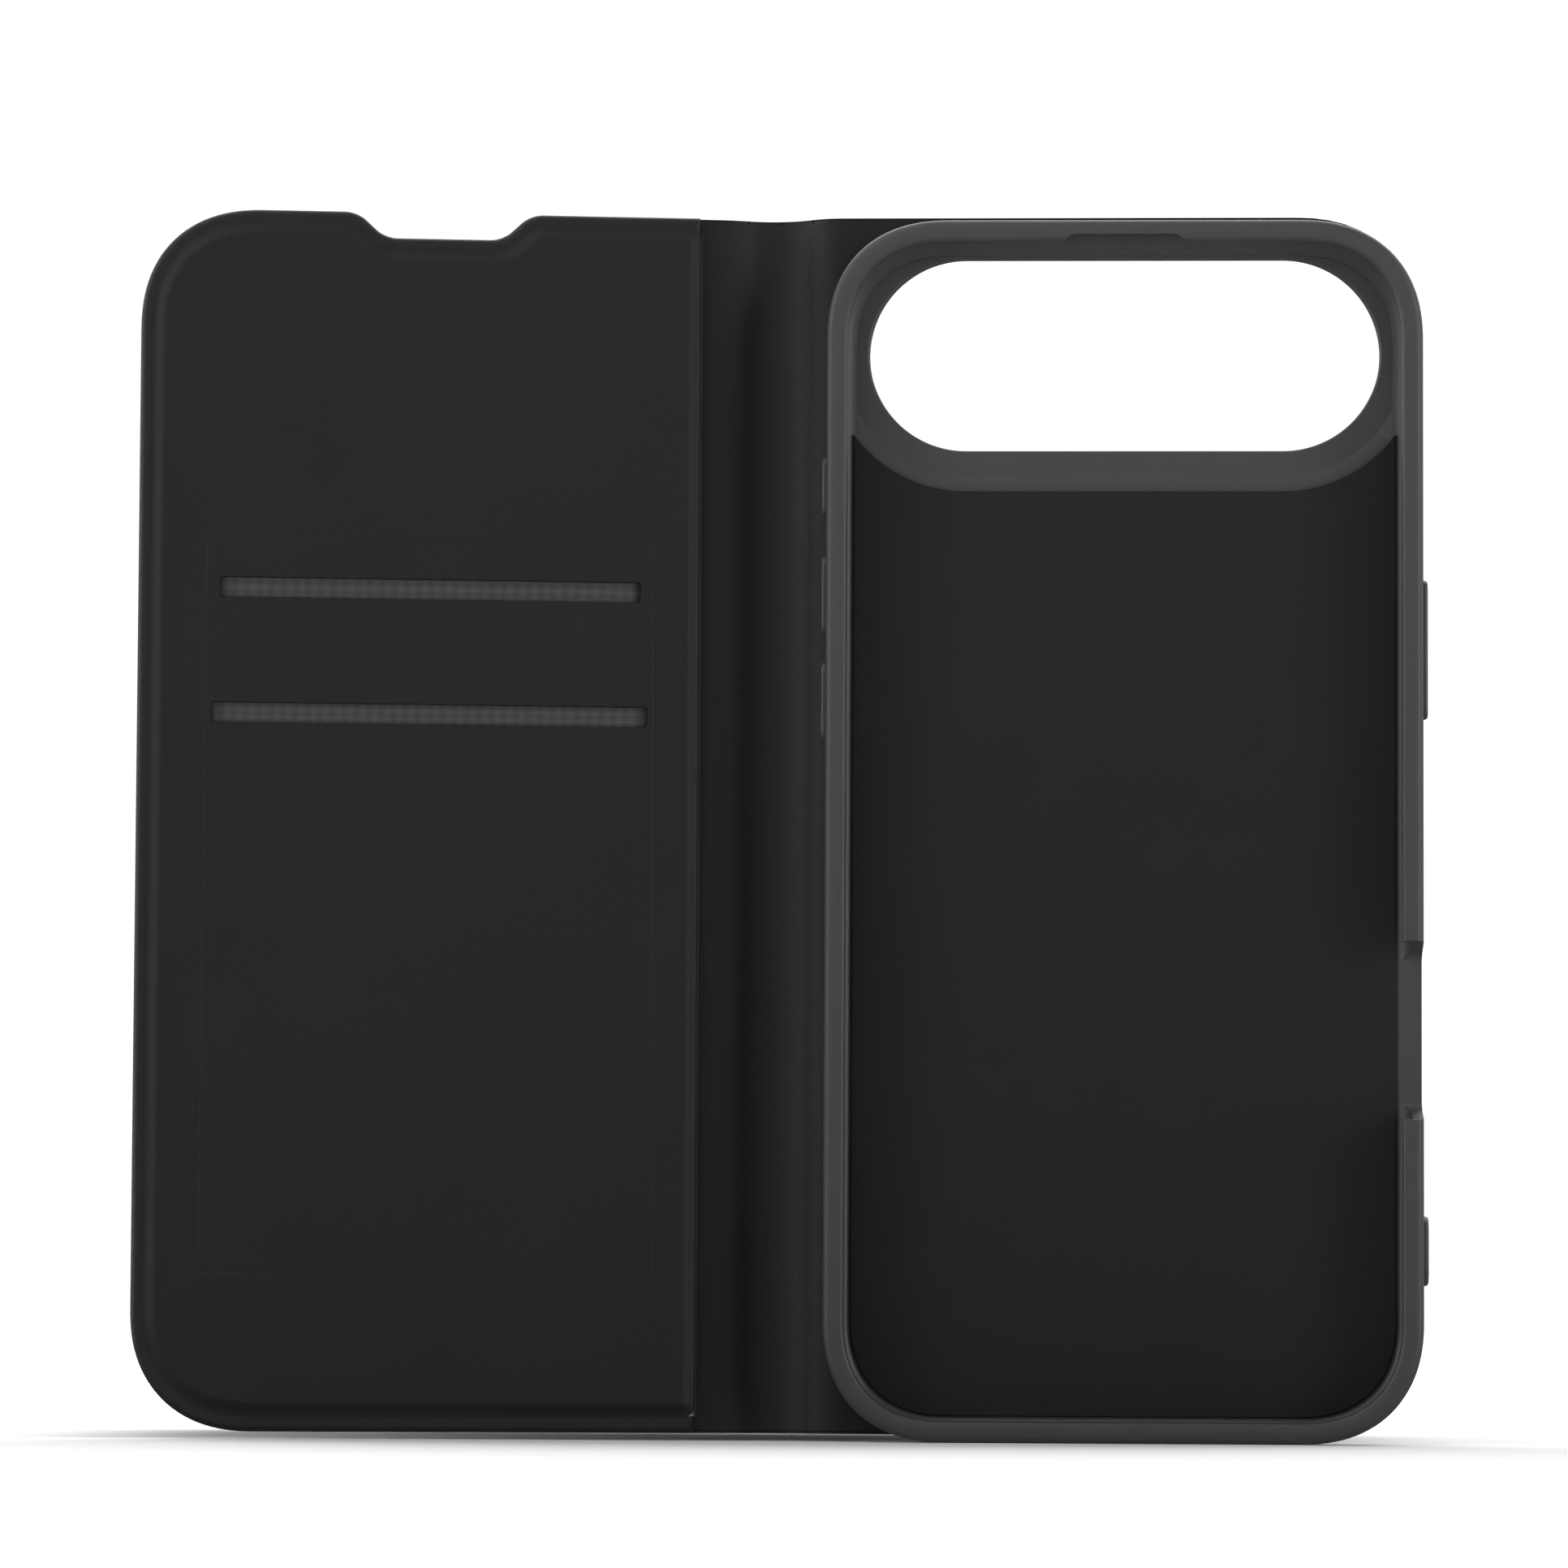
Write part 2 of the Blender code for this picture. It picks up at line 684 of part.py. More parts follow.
def main():
    for obj in list(bpy.data.objects):
        bpy.data.objects.remove(obj)
    root = fold_axis("case", (0.0, 0.0, 0.0), 0.0, None)

    shell = make_tray_shell(root)
    make_keys(shell, root)
    make_tray_magnet(shell, root)
    make_floor_lining(root)
    make_back_skin(root)

    parent, place = root, (FOLD_X, FOLD_Y, 0.0)
    names = ("back_fold", "spine_fold_1", "spine_fold_2", "cover_fold")
    strips = (
        ("back", END_SETBACK, MID_SETBACK),
        ("middle", MID_SETBACK, MID_SETBACK),
        ("front", MID_SETBACK, END_SETBACK),
    )
    for name, bend, strip in zip(names, REST_BENDS, strips + (None,)):
        parent = fold_axis(name, place, bend, parent)
        if strip:
            make_spine_strip(strip[0], parent, strip[1], strip[2])
        place = (-STRIP, 0.0, 0.0)

    make_cover_skin(parent)
    make_board(parent)
    make_pocket_leaves(parent)
    make_liner(parent)
    make_margin_lining(parent)
    stand_on_origin(root)


main()
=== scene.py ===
# %% [markdown]
# # A phone wallet case
# The case is a soft plastic tray for the phone, with a leather cover glued to its back. The leather runs
# round the tray's left side as a spine with four folds, and ends in a stiffened cover with two card slots.
# The first cell loads the measured model. Its bodies and hinges are fixed, and all pieces are made to fit it.

# %% Load the model
import json
import math

import bmesh
import bpy
from mathutils import Matrix, Vector


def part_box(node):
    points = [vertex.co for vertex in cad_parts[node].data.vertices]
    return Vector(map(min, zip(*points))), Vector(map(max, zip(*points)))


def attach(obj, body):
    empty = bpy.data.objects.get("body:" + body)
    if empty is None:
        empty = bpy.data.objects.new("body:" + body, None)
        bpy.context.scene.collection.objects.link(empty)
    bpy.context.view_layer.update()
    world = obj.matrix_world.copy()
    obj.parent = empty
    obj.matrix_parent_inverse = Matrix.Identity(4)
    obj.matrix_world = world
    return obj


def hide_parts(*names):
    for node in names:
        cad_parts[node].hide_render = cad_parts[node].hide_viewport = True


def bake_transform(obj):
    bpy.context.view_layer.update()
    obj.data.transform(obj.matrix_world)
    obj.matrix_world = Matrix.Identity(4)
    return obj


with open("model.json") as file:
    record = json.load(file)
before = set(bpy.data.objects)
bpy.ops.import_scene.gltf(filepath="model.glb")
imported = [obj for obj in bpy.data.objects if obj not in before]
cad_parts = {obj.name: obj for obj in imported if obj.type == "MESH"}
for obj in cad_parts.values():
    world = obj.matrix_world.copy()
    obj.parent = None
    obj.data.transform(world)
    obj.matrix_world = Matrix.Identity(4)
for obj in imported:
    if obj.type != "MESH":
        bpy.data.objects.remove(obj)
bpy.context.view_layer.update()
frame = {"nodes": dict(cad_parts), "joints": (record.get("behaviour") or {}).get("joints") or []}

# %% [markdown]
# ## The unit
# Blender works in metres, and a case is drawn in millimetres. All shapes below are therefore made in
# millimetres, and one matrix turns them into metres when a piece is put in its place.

MM = 0.001              # all sizes below are in millimetres

# %% [markdown]
# ## Two drawing frames
# A case maker draws the tray on its own middle line, and draws the leather flat, before it is folded.
# The same is done here. In the tray's frame X is 0 in the middle of the tray, Y is 0 on the outer face of the
# back leather, with the viewer at -Y, and Z is 0 where the case stands. The leather's frame is the same one,
# carried on to the left past the tray: X goes on along the leather, as if the spine were unfolded.

# %% Read the tray's place
shell_low, shell_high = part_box("tray_shell")
lining_low, lining_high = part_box("tray_floor_lining")
back_low, back_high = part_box("back_cover_skin")
TRAY_ORIGIN = Vector(((lining_low.x + lining_high.x) / 2, back_high.y, 0.0))
TO_WORLD = Matrix.Translation(TRAY_ORIGIN) @ Matrix.Scale(MM, 4)


def in_tray_frame(point):
    """A world point in the tray's frame, in millimetres."""
    return (Vector(point) - TRAY_ORIGIN) / MM


HALF = -in_tray_frame(shell_low).x
TRAY_HEIGHT = in_tray_frame(shell_high).z
TRAY_FRONT = in_tray_frame(shell_low).y
FRAME_BACK = in_tray_frame(shell_high).y
LINING_FRONT = in_tray_frame(lining_low).y
print("tray half width", round(HALF, 2), "height", round(TRAY_HEIGHT, 2), "front", round(TRAY_FRONT, 2))

# %% [markdown]
# ## The folds
# The spine's folds are the model's hinges. Between two folds the leather lies along a straight strip. Real
# leather doesn't crease to a line, so its middle follows a curve that touches each strip halfway along:
# between two such points it is one quadratic curve, with the fold as its control point.

# %% Read the folds
joints = {joint["name"]: joint for joint in frame["joints"]}
folds = [
    in_tray_frame(joints[name]["pos_m"]).to_2d()
    for name in ("back_fold", "spine_fold_1", "spine_fold_2", "cover_fold")
]
STRIP = (folds[1] - folds[0]).length
ARM = STRIP / 2
FOLD_X, FOLD_Y = folds[0]
COVER_FOLD_X = FOLD_X - 3 * STRIP

board = frame["nodes"]["front_stiffener_board"].data
board_face = max(board.polygons, key=lambda face: face.area)
cover_normal = board_face.normal.to_2d() * math.copysign(1, board_face.normal.y)
directions = [Vector((-1.0, 0.0))]
directions += [(far - near).normalized() for near, far in zip(folds, folds[1:])]
directions.append(Vector((-cover_normal.y, cover_normal.x)).normalized())
print("strip", round(STRIP, 2), "mm, cover turned", round(math.degrees(math.asin(-cover_normal.x)), 1))

# %% [markdown]
# ## From the flat sheet to the folded one
# A point of the flat sheet is folded by walking along that curve to the point's X, and then outwards by its
# depth. Every leather piece goes through this one function, so neighbouring layers never cross.

# %% A point on the folded leather


def on_the_leather(x):
    """Place and outward direction of the leather's middle, from its place on the flat sheet."""
    strips = (FOLD_X + ARM - x) / STRIP
    if strips <= 0:
        return Vector((x, FOLD_Y)), Vector((0.0, 1.0))
    if strips >= 4:
        direction = directions[4]
        point = folds[3] + direction * (ARM + (strips - 4) * STRIP)
    else:
        fold = min(int(strips), 3)
        part = strips - fold
        start = folds[fold] - directions[fold] * ARM
        end = folds[fold] + directions[fold + 1] * ARM
        point = (
            start * (1 - part) ** 2 + folds[fold] * 2 * part * (1 - part) + end * part ** 2
        )
        direction = ((folds[fold] - start) * (1 - part) + (end - folds[fold]) * part).normalized()
    return point, Vector((direction.y, -direction.x))


def world_point(x, y=0.0, z=0.0):
    """A point of the flat sheet, in the world after folding."""
    place, outward = on_the_leather(x)
    place = place + outward * (y - FOLD_Y)
    return TO_WORLD @ Vector((place.x, place.y, z))


print("the last fold is at", [round(c / MM, 1) for c in world_point(COVER_FOLD_X)])

# %% [markdown]
# ## The camera
# The case is seen from the front and from just above the table, by a long lens that hardly shows any
# perspective. The camera comes early, so that each piece can be judged as soon as it is made.

# %% Camera
EYE = (0.0447, -0.97436, 0.0141)
YAW, PITCH, ROLL = math.radians(-2.61), math.radians(4.19), math.radians(0.293)
LENS = 171.9

camera = bpy.data.objects.new("camera", bpy.data.cameras.new("camera"))
camera.data.lens = LENS
camera.data.sensor_width = 36.0
forward = Vector((math.sin(YAW) * math.cos(PITCH), math.cos(YAW) * math.cos(PITCH), math.sin(PITCH)))
level = Vector((math.cos(YAW), -math.sin(YAW), 0.0))
upright = level.cross(forward)
right = level * math.cos(ROLL) + upright * math.sin(ROLL)
up = upright * math.cos(ROLL) - level * math.sin(ROLL)
camera.matrix_world = Matrix.Translation(EYE) @ Matrix((right, up, -forward)).transposed().to_4x4()
bpy.context.scene.collection.objects.link(camera)
bpy.context.scene.camera = camera
bpy.context.scene.view_settings.view_transform = "Standard"
print("camera at", [round(c, 3) for c in EYE])

# %% [markdown]
# ## Outlines
# Tray and cover have corners that are a little squarer than a circle. Blender's bevel makes such a curve
# straight from a sharp corner: a profile of 0.5 is a circle, and more is squarer. So an outline starts as a
# face with as few points as it can, and its corners are bevelled.

# %% Faces with rounded corners
CORNER = 16.0
CORNER_PROFILE = 0.547  # a superellipse of power 2.3
CIRCLE = 0.5
JUST_UNDER = 0.9999     # two corners that fill a whole side must not quite meet
MERGE = 0.01            # points closer than this are one point


def polygon(points):
    """A flat face that looks at the viewer, through points (x, z) taken counterclockwise."""
    bm = bmesh.new()
    bm.faces.new([bm.verts.new((x, 0.0, z)) for x, z in points])
    return bm


def round_corners(bm, corners, size, segments, profile=CIRCLE):
    """Rounds the vertices that lie nearest to the given (x, z) corners."""
    chosen = [min(bm.verts, key=lambda v: (v.co.xz - Vector(corner)).length) for corner in corners]
    bmesh.ops.bevel(
        bm, geom=chosen, affect="VERTICES", offset=size, segments=segments,
        profile=profile, material=-1, clamp_overlap=False,
    )


def rectangle(x0, x1, z0, z1, corner=0.0, segments=6, profile=CIRCLE):
    """A rectangle with four equal corners."""
    points = [(x0, z0), (x1, z0), (x1, z1), (x0, z1)]
    bm = polygon(points)
    if corner:
        round_corners(bm, points, corner, segments, profile)
    return bm


def stadium(middle, length, height, reach=0.0, segments=20):
    """A rectangle with half-round ends, around (x, z), grown by `reach`."""
    half_length, half_height = length / 2 + reach, height / 2 + reach
    bm = rectangle(
        middle[0] - half_length, middle[0] + half_length,
        middle[1] - half_height, middle[1] + half_height, half_height * JUST_UNDER, segments,
    )
    bmesh.ops.remove_doubles(bm, verts=bm.verts, dist=MERGE)
    return bm


print("a stadium has", len(stadium((0, 0), 60, 20).verts), "points")

# %% [markdown]
# ## From a face to a solid
# A face is extruded to a plate. A moulded section is then traced on the plate's front face by a row of
# insets, as a milling cutter would do it: each step goes a little inwards and a little deeper, and a step
# with a negative inset widens the hole again, as under the lip of the tray.

# %% Extrude, trace and round
SHARP = math.radians(35)
FLAT_WITHIN = 0.001


def extrude(bm, back, front):
    """Turns a face into a plate between two depths, and returns its front face."""
    bmesh.ops.translate(bm, verts=bm.verts, vec=(0.0, back, 0.0))
    made = bmesh.ops.extrude_face_region(bm, geom=bm.faces[:])
    face = next(item for item in made["geom"] if isinstance(item, bmesh.types.BMFace))
    bmesh.ops.translate(bm, verts=face.verts, vec=(0.0, front - back, 0.0))
    bmesh.ops.recalc_face_normals(bm, faces=bm.faces)
    return face


def trace(bm, face, steps, build=False):
    """Traces a section with insets of one face: each step is (inwards, deeper), or outwards to build."""
    for inwards, deeper in steps:
        bmesh.ops.inset_region(
            bm, faces=[face], thickness=inwards, depth=deeper if build else -deeper,
            use_even_offset=True, use_boundary=True,
        )


def round_over(radius, segments, hollow=False):
    """Steps (inwards, deeper) round a quarter circle: over an edge, or down into a hollow corner."""
    angles = [math.radians(90 * step / segments) for step in range(segments + 1)]
    over = [(radius * math.sin(a), radius * (1 - math.cos(a))) for a in angles]
    if hollow:
        over = [(radius * (1 - math.cos(a)), radius * math.sin(a)) for a in angles]
    return [(there[0] - here[0], there[1] - here[1]) for here, there in zip(over, over[1:])]


def flare_out(steps):
    """The same steps in the other direction, so that a hole widens again."""
    return [(-inwards, deeper) for inwards, deeper in reversed(steps)]


def round_edges(bm, wanted, size, segments=4):
    """Rounds the sharp edges for which `wanted` says yes."""
    edges = [e for e in bm.edges if len(e.link_faces) == 2 and e.calc_face_angle() > SHARP and wanted(e)]
    bmesh.ops.bevel(
        bm, geom=edges, affect="EDGES", offset=size, segments=segments,
        profile=CIRCLE, material=-1, clamp_overlap=False,
    )


def at_depth(depth):
    """Says yes to edges and faces that lie flat at one depth."""
    return lambda item: all(abs(vert.co.y - depth) < FLAT_WITHIN for vert in item.verts)


def face_at(bm, depth):
    """The largest face that lies flat at one depth."""
    return max(filter(at_depth(depth), bm.faces), key=lambda face: face.calc_area())


# %% [markdown]
# ## Holes
# Holes are cut with solids, as a punch does. A punch that is flared at both ends leaves a rounded mouth,
# so the hole's edge needs no bevel afterwards, which is hard to do well on a mesh that was just cut.

# %% Punches and cuts
PAST = 1.0              # how far a punch runs past what it cuts
FINE_ROUND = 0.15       # rounding of a small cut edge
HAIR = 0.02             # keeps two pieces from sharing a face


def punch(bm, back, front, flare, segments=4):
    """A punch from a face of the hole's own size, through a wall between two depths."""
    over = round_over(flare, segments)
    face = extrude(bm, back + PAST, back + PAST - 0.01)
    steps = [(-flare, 0.0), (0.0, PAST - 0.01)] + over + [(0.0, back - front - 2 * flare)]
    trace(bm, face, steps + flare_out(over) + [(0.0, PAST)], build=True)
    bmesh.ops.recalc_face_normals(bm, faces=bm.faces)
    return bm


def as_object(name, bm):
    """A plain object from a bmesh, which is used up."""
    mesh = bpy.data.meshes.new(name)
    bm.to_mesh(mesh)
    bm.free()
    obj = bpy.data.objects.new(name, mesh)
    bpy.context.scene.collection.objects.link(obj)
    return obj


def combine(bm, tool, operation="DIFFERENCE"):
    """The solid that is left, as a new bmesh, after a cut, a union or an intersection."""
    body, other = as_object("body", bm), as_object("tool", tool)
    modifier = body.modifiers.new("combine", "BOOLEAN")
    modifier.operation, modifier.object, modifier.solver = operation, other, "EXACT"
    made = bmesh.new()
    made.from_object(body, bpy.context.evaluated_depsgraph_get())
    for helper in (body, other):
        mesh = helper.data
        bpy.data.objects.remove(helper)
        bpy.data.meshes.remove(mesh)
    bmesh.ops.remove_doubles(made, verts=made.verts, dist=0.0005)
    return made


def joined(parts):
    """Several bmeshes that don't meet, as one."""
    whole = bmesh.new()
    for part in parts:
        mesh = bpy.data.meshes.new("part")
        part.to_mesh(mesh)
        part.free()
        whole.from_mesh(mesh)
        bpy.data.meshes.remove(mesh)
    return whole


# %% [markdown]
# ## Finishing a piece
# A piece keeps where each of its points was on the flat leather, as an attribute. The grain reads that
# attribute, so it follows the leather round the folds and stays on it when the case moves. Then the piece is
# folded, moved to its place in the world, shaded smooth, and given its material. Weighted normals keep large
# flat faces flat next to small rounded edges.

# %% Finish, fold and place
SMOOTH_BELOW = math.radians(40)


def finish_piece(name, bm, material, folded=False):
    """Puts a finished bmesh in its place and returns the object."""
    place = bm.verts.layers.float_vector.new("flat_place")
    for vert in bm.verts:
        vert[place] = vert.co
        if folded:
            flat = vert.co.copy()
            middle, outward = on_the_leather(flat.x)
            middle += outward * (flat.y - FOLD_Y)
            vert.co = (middle.x, middle.y, flat.z)
    bmesh.ops.transform(bm, matrix=TO_WORLD, verts=bm.verts)
    obj = as_object(name, bm)
    obj.data.materials.append(material)
    obj.data.shade_smooth()
    obj.data.set_sharp_from_angle(angle=SMOOTH_BELOW)
    weighted = obj.modifiers.new("flat_faces_stay_flat", "WEIGHTED_NORMAL")
    weighted.keep_sharp = True
    print(name, len(obj.data.polygons), "faces")
    return obj


# %% [markdown]
# ## Shader maths
# The finishes are built from nodes. One small class wraps a socket, so that a pattern can be written down as
# a sum. Numbers that don't vary are worked out in Python, and go straight onto the shader's own socket.

# %% A socket that can be used in a sum


class Wire:
    """A socket of a node tree with Python's operators, and one method that makes any other node."""

    def __init__(self, tree, socket=None):
        self.tree, self.socket = tree, socket

    def node(self, kind, settings=None, inputs=None, output=0):
        """Makes a node: its settings first, then its sockets, and returns one of its outputs."""
        made = self.tree.nodes.new(kind)
        for name, value in (settings or {}).items():
            setattr(made, name, value)
        for name, value in (inputs or {}).items():
            if isinstance(value, Wire):
                self.tree.links.new(value.socket, made.inputs[name])
            else:
                made.inputs[name].default_value = value
        return Wire(self.tree, made.outputs[output])

    def maths(self, operation, *values):
        return self.node("ShaderNodeMath", {"operation": operation}, dict(enumerate(values)))

    def __add__(self, other):
        return self.maths("ADD", self, other)

    def __sub__(self, other):
        return self.maths("SUBTRACT", self, other)

    def __rsub__(self, other):
        return self.maths("SUBTRACT", other, self)

    def __mul__(self, other):
        return self.maths("MULTIPLY", self, other)

    __radd__, __rmul__ = __add__, __mul__

    def between(self, low, high):
        """0 below `low`, 1 above `high`, and smooth between them."""
        return self.node(
            "ShaderNodeMapRange", {"interpolation_type": "SMOOTHSTEP"},
            {"Value": self, "From Min": low, "From Max": high},
        )

    def times_colour(self, colour):
        """A colour that is darker or lighter by this factor."""
        return self.node(
            "ShaderNodeVectorMath", {"operation": "SCALE"}, {"Vector": colour[:3], "Scale": self}
        )


# %% [markdown]
# All finishes share the same two steps: a Principled shader with its fixed values, and a few patterns that
# are read in millimetres. Noise gives clouds and specks, and Voronoi gives pebbles.

# %% Start a material


def start_material(name, colour, roughness, specular=0.5, metallic=0.0):
    """A material, a first wire in its tree, and its shader."""
    material = bpy.data.materials.new(name)
    material.use_nodes = True
    shader = material.node_tree.nodes["Principled BSDF"]
    shader.inputs["Base Color"].default_value = (*colour, 1.0)
    shader.inputs["Roughness"].default_value = roughness
    shader.inputs["Specular IOR Level"].default_value = specular
    shader.inputs["Metallic"].default_value = metallic
    return material, Wire(material.node_tree), shader


def millimetres(wire, flat):
    """Coordinates in millimetres: on the flat leather, or in the world."""
    if flat:
        return wire.node("ShaderNodeAttribute", {"attribute_name": "flat_place"}, output="Vector")
    place = wire.node("ShaderNodeTexCoord", output="Object")
    return wire.node(
        "ShaderNodeVectorMath", {"operation": "SCALE"}, {"Vector": place, "Scale": 1 / MM}
    )


def noise(place, size, detail=2.0):
    """Noise from 0 to 1, with lumps of about `size` millimetres."""
    return place.node(
        "ShaderNodeTexNoise", inputs={"Vector": place, "Scale": 1 / size, "Detail": detail}
    )


def pebbles(place, size):
    """Rounded pebbles of about `size` millimetres: 0 in the creases and 1 on top."""
    return 1 - place.node(
        "ShaderNodeTexVoronoi", {"feature": "SMOOTH_F1"},
        {"Vector": place, "Scale": 1 / size, "Smoothness": 0.35},
    )


def bump(wire, shader, height, depth):
    """Feeds a height from 0 to 1, `depth` millimetres high, into the shader's normal."""
    normal = wire.node(
        "ShaderNodeBump", inputs={"Height": height, "Distance": depth * MM, "Strength": 1.0}
    )
    wire.tree.links.new(normal.socket, shader.inputs["Normal"])


def feed(wire, shader, name):
    wire.tree.links.new(wire.socket, shader.inputs[name])


# %% [markdown]
# ## Leather
# The cover is polyurethane leather: a cloth with a thin coat, embossed with a fine, regular grain and sold
# in a satin black. Up close it has pebbles less than half a millimetre wide. From arm's length only a soft
# sheen is left. The inside is the same coat with a weaker grain, so one function makes both.

# %% Leather material


def leather(name, grey, roughness, grain, specular):
    """Coated leather: pebbled grain, and a coat that is a little duller in the creases."""
    material, wire, shader = start_material(name, (grey, grey, grey * 1.01), roughness, specular)
    place = millimetres(wire, flat=True)
    cloud = noise(place, 14.0)
    pebble = pebbles(place, 0.42)
    fine = noise(place, 0.11)
    shade = 0.90 + 0.16 * cloud + 0.06 * pebble
    feed(shade.times_colour((grey, grey, grey * 1.01)), shader, "Base Color")
    feed(roughness + 0.10 * (0.5 - pebble) + 0.08 * (cloud - 0.5), shader, "Roughness")
    bump(wire, shader, pebble * 0.75 + fine * 0.25, grain)
    return material


outer_leather = leather("outer_leather", 0.0115, 0.52, 0.050, 0.36)
inner_leather = leather("inner_leather", 0.0115, 0.56, 0.022, 0.30)
print("leathers made")

# %% [markdown]
# ## Soft plastic
# The tray is moulded in a rubbery plastic. The mould is sandblasted, which leaves a fine matt texture with
# no direction, and a faint mottling where the plastic cooled against it.

# %% Plastic material


def soft_plastic(name, grey, roughness):
    material, wire, shader = start_material(name, (grey, grey, grey), roughness, 0.5)
    place = millimetres(wire, flat=False)
    blast = noise(place, 0.09, 3.0)
    mottle = noise(place, 6.0)
    feed((0.94 + 0.12 * mottle).times_colour((grey, grey, grey)), shader, "Base Color")
    feed(roughness + 0.10 * (blast - 0.5) + 0.06 * (mottle - 0.5), shader, "Roughness")
    bump(wire, shader, blast, 0.012)
    return material


tray_plastic = soft_plastic("tray_plastic", 0.045, 0.46)
key_plastic = soft_plastic("key_plastic", 0.042, 0.42)

# %% [markdown]
# ## Cloth
# Two cloths are used. The tray's floor has a microfibre, so short that it only shows as a dull, slightly
# uneven surface. The card slots show a woven tape with raised lozenges, in which two sets of slanting
# threads cross. Two slanted sine waves multiplied together give exactly that pattern.

# %% Cloth materials


def microfibre(name, grey):
    material, wire, shader = start_material(name, (grey, grey, grey), 0.9, 0.2)
    place = millimetres(wire, flat=False)
    fibre = noise(place, 0.16, 4.0)
    patch = noise(place, 9.0)
    feed((0.86 + 0.14 * fibre + 0.14 * patch).times_colour((grey, grey, grey)), shader, "Base Color")
    shader.inputs["Sheen Weight"].default_value = 0.05
    bump(wire, shader, fibre, 0.03)
    return material


def woven_tape(name, grey, lozenge):
    material, wire, shader = start_material(name, (grey, grey, grey), 0.8, 0.3)
    place = millimetres(wire, flat=True)
    parts = wire.node("ShaderNodeSeparateXYZ", inputs={"Vector": place}, output="X")
    upwards = Wire(wire.tree, parts.socket.node.outputs["Z"])
    turn = 2 * math.pi / lozenge
    one = wire.maths("SINE", (parts + 1.4 * upwards) * turn)
    other = wire.maths("SINE", (parts - 1.4 * upwards) * turn)
    raised = (one * other) * 0.5 + 0.5
    thread = noise(place, 0.07, 3.0)
    feed((0.72 + 0.42 * raised + 0.16 * thread).times_colour((grey, grey, grey)), shader, "Base Color")
    bump(wire, shader, raised * 0.8 + thread * 0.2, 0.10)
    return material


lining_cloth = microfibre("lining_microfibre", 0.0145)
pocket_tape = woven_tape("pocket_tape", 0.054, 3.2)

# %% [markdown]
# ## Board and magnets
# Inside the cover lie a grey pressed board and a nickel-plated magnet, and the tray's wall holds a second
# magnet. They keep their measured shapes, and only get a finish: pulp fibres, and fine brushing.

# %% Board and magnet materials


def pressed_board(name):
    colour = (0.20, 0.195, 0.18)
    material, wire, shader = start_material(name, colour, 0.92, 0.2)
    place = millimetres(wire, flat=False)
    pulp = noise(place, 0.5, 5.0)
    feed((0.75 + 0.5 * pulp).times_colour(colour), shader, "Base Color")
    bump(wire, shader, pulp, 0.03)
    return material


def nickel(name):
    colour = (0.52, 0.51, 0.49)
    material, wire, shader = start_material(name, colour, 0.32, 0.5, 1.0)
    place = millimetres(wire, flat=False)
    along = wire.node(
        "ShaderNodeVectorMath", {"operation": "MULTIPLY"}, {0: place, 1: (1.0, 1.0, 0.05)}
    )
    brushed = noise(along, 0.08, 3.0)
    feed(0.22 + 0.2 * brushed, shader, "Roughness")
    bump(wire, shader, brushed, 0.002)
    return material


for material, nodes in (
    (pressed_board("pressed_board"), ("front_stiffener_board",)),
    (nickel("nickel"), ("cover_magnet", "tray_magnet")),
):
    for node in nodes:
        data = frame["nodes"][node].data
        data.materials.clear()
        data.materials.append(material)

# %% [markdown]
# ## The tray
# The real tray is one moulding: a floor, walls that follow the phone's sides, and a lip that folds over the
# screen's edge. It could be lofted from rings, but a plate with rounded edges and a row of insets says the
# same in one section: over the slightly crowned lip, under it, down the wall, and through a fillet to the
# floor.

# %% Tray: body
WALL = 1.4
LIP = 0.9
LIP_WIDTH = 2.8
LIP_ROUND = 0.6
LIP_CROWN = 0.06        # how far the lip's middle stands out
BACK_ROUND = 2.0
FRONT_ROUND = 1.0
FLOOR_ROUND = 2.8
FLOOR = 1.2
LEATHER = 0.6
GAP = 0.3
TRAY_BACK = -(LEATHER + GAP)
FLOOR_FRONT = TRAY_BACK - FLOOR
PHONE_FRONT = TRAY_FRONT + LIP
CORNER_SEGMENTS = 28

tray = rectangle(-HALF, HALF, 0.0, TRAY_HEIGHT, CORNER, CORNER_SEGMENTS, CORNER_PROFILE)
lip_edge = TRAY_FRONT + LIP_CROWN
extrude(tray, TRAY_BACK, lip_edge)
round_edges(tray, at_depth(TRAY_BACK), BACK_ROUND, 7)
round_edges(tray, at_depth(lip_edge), FRONT_ROUND, 6)
part = (LIP_WIDTH - FRONT_ROUND - LIP_ROUND) / 4
rise = LIP_CROWN / 4
crown = [(part, -3 * rise), (part, -rise), (part, rise), (part, 3 * rise)]
under_lip = [(0.0, LIP - LIP_CROWN - LIP_ROUND), (WALL - LIP_WIDTH, 0.0)]
wall = [(0.0, FLOOR_FRONT - PHONE_FRONT - FLOOR_ROUND)] + round_over(FLOOR_ROUND, 8, hollow=True)
trace(tray, face_at(tray, lip_edge), crown + round_over(LIP_ROUND, 5) + under_lip + wall)
print("tray volume", round(tray.calc_volume() / 1000, 1), "cm3")

# %% [markdown]
# ## The camera window
# Behind the phone's camera the floor has a long window. A low frame stands round it at the back, to keep the
# lenses off the table, and inside the tray the floor is a little lower round the window, with a sloping
# edge. The frame is joined to the tray, and then a flared punch goes through both.

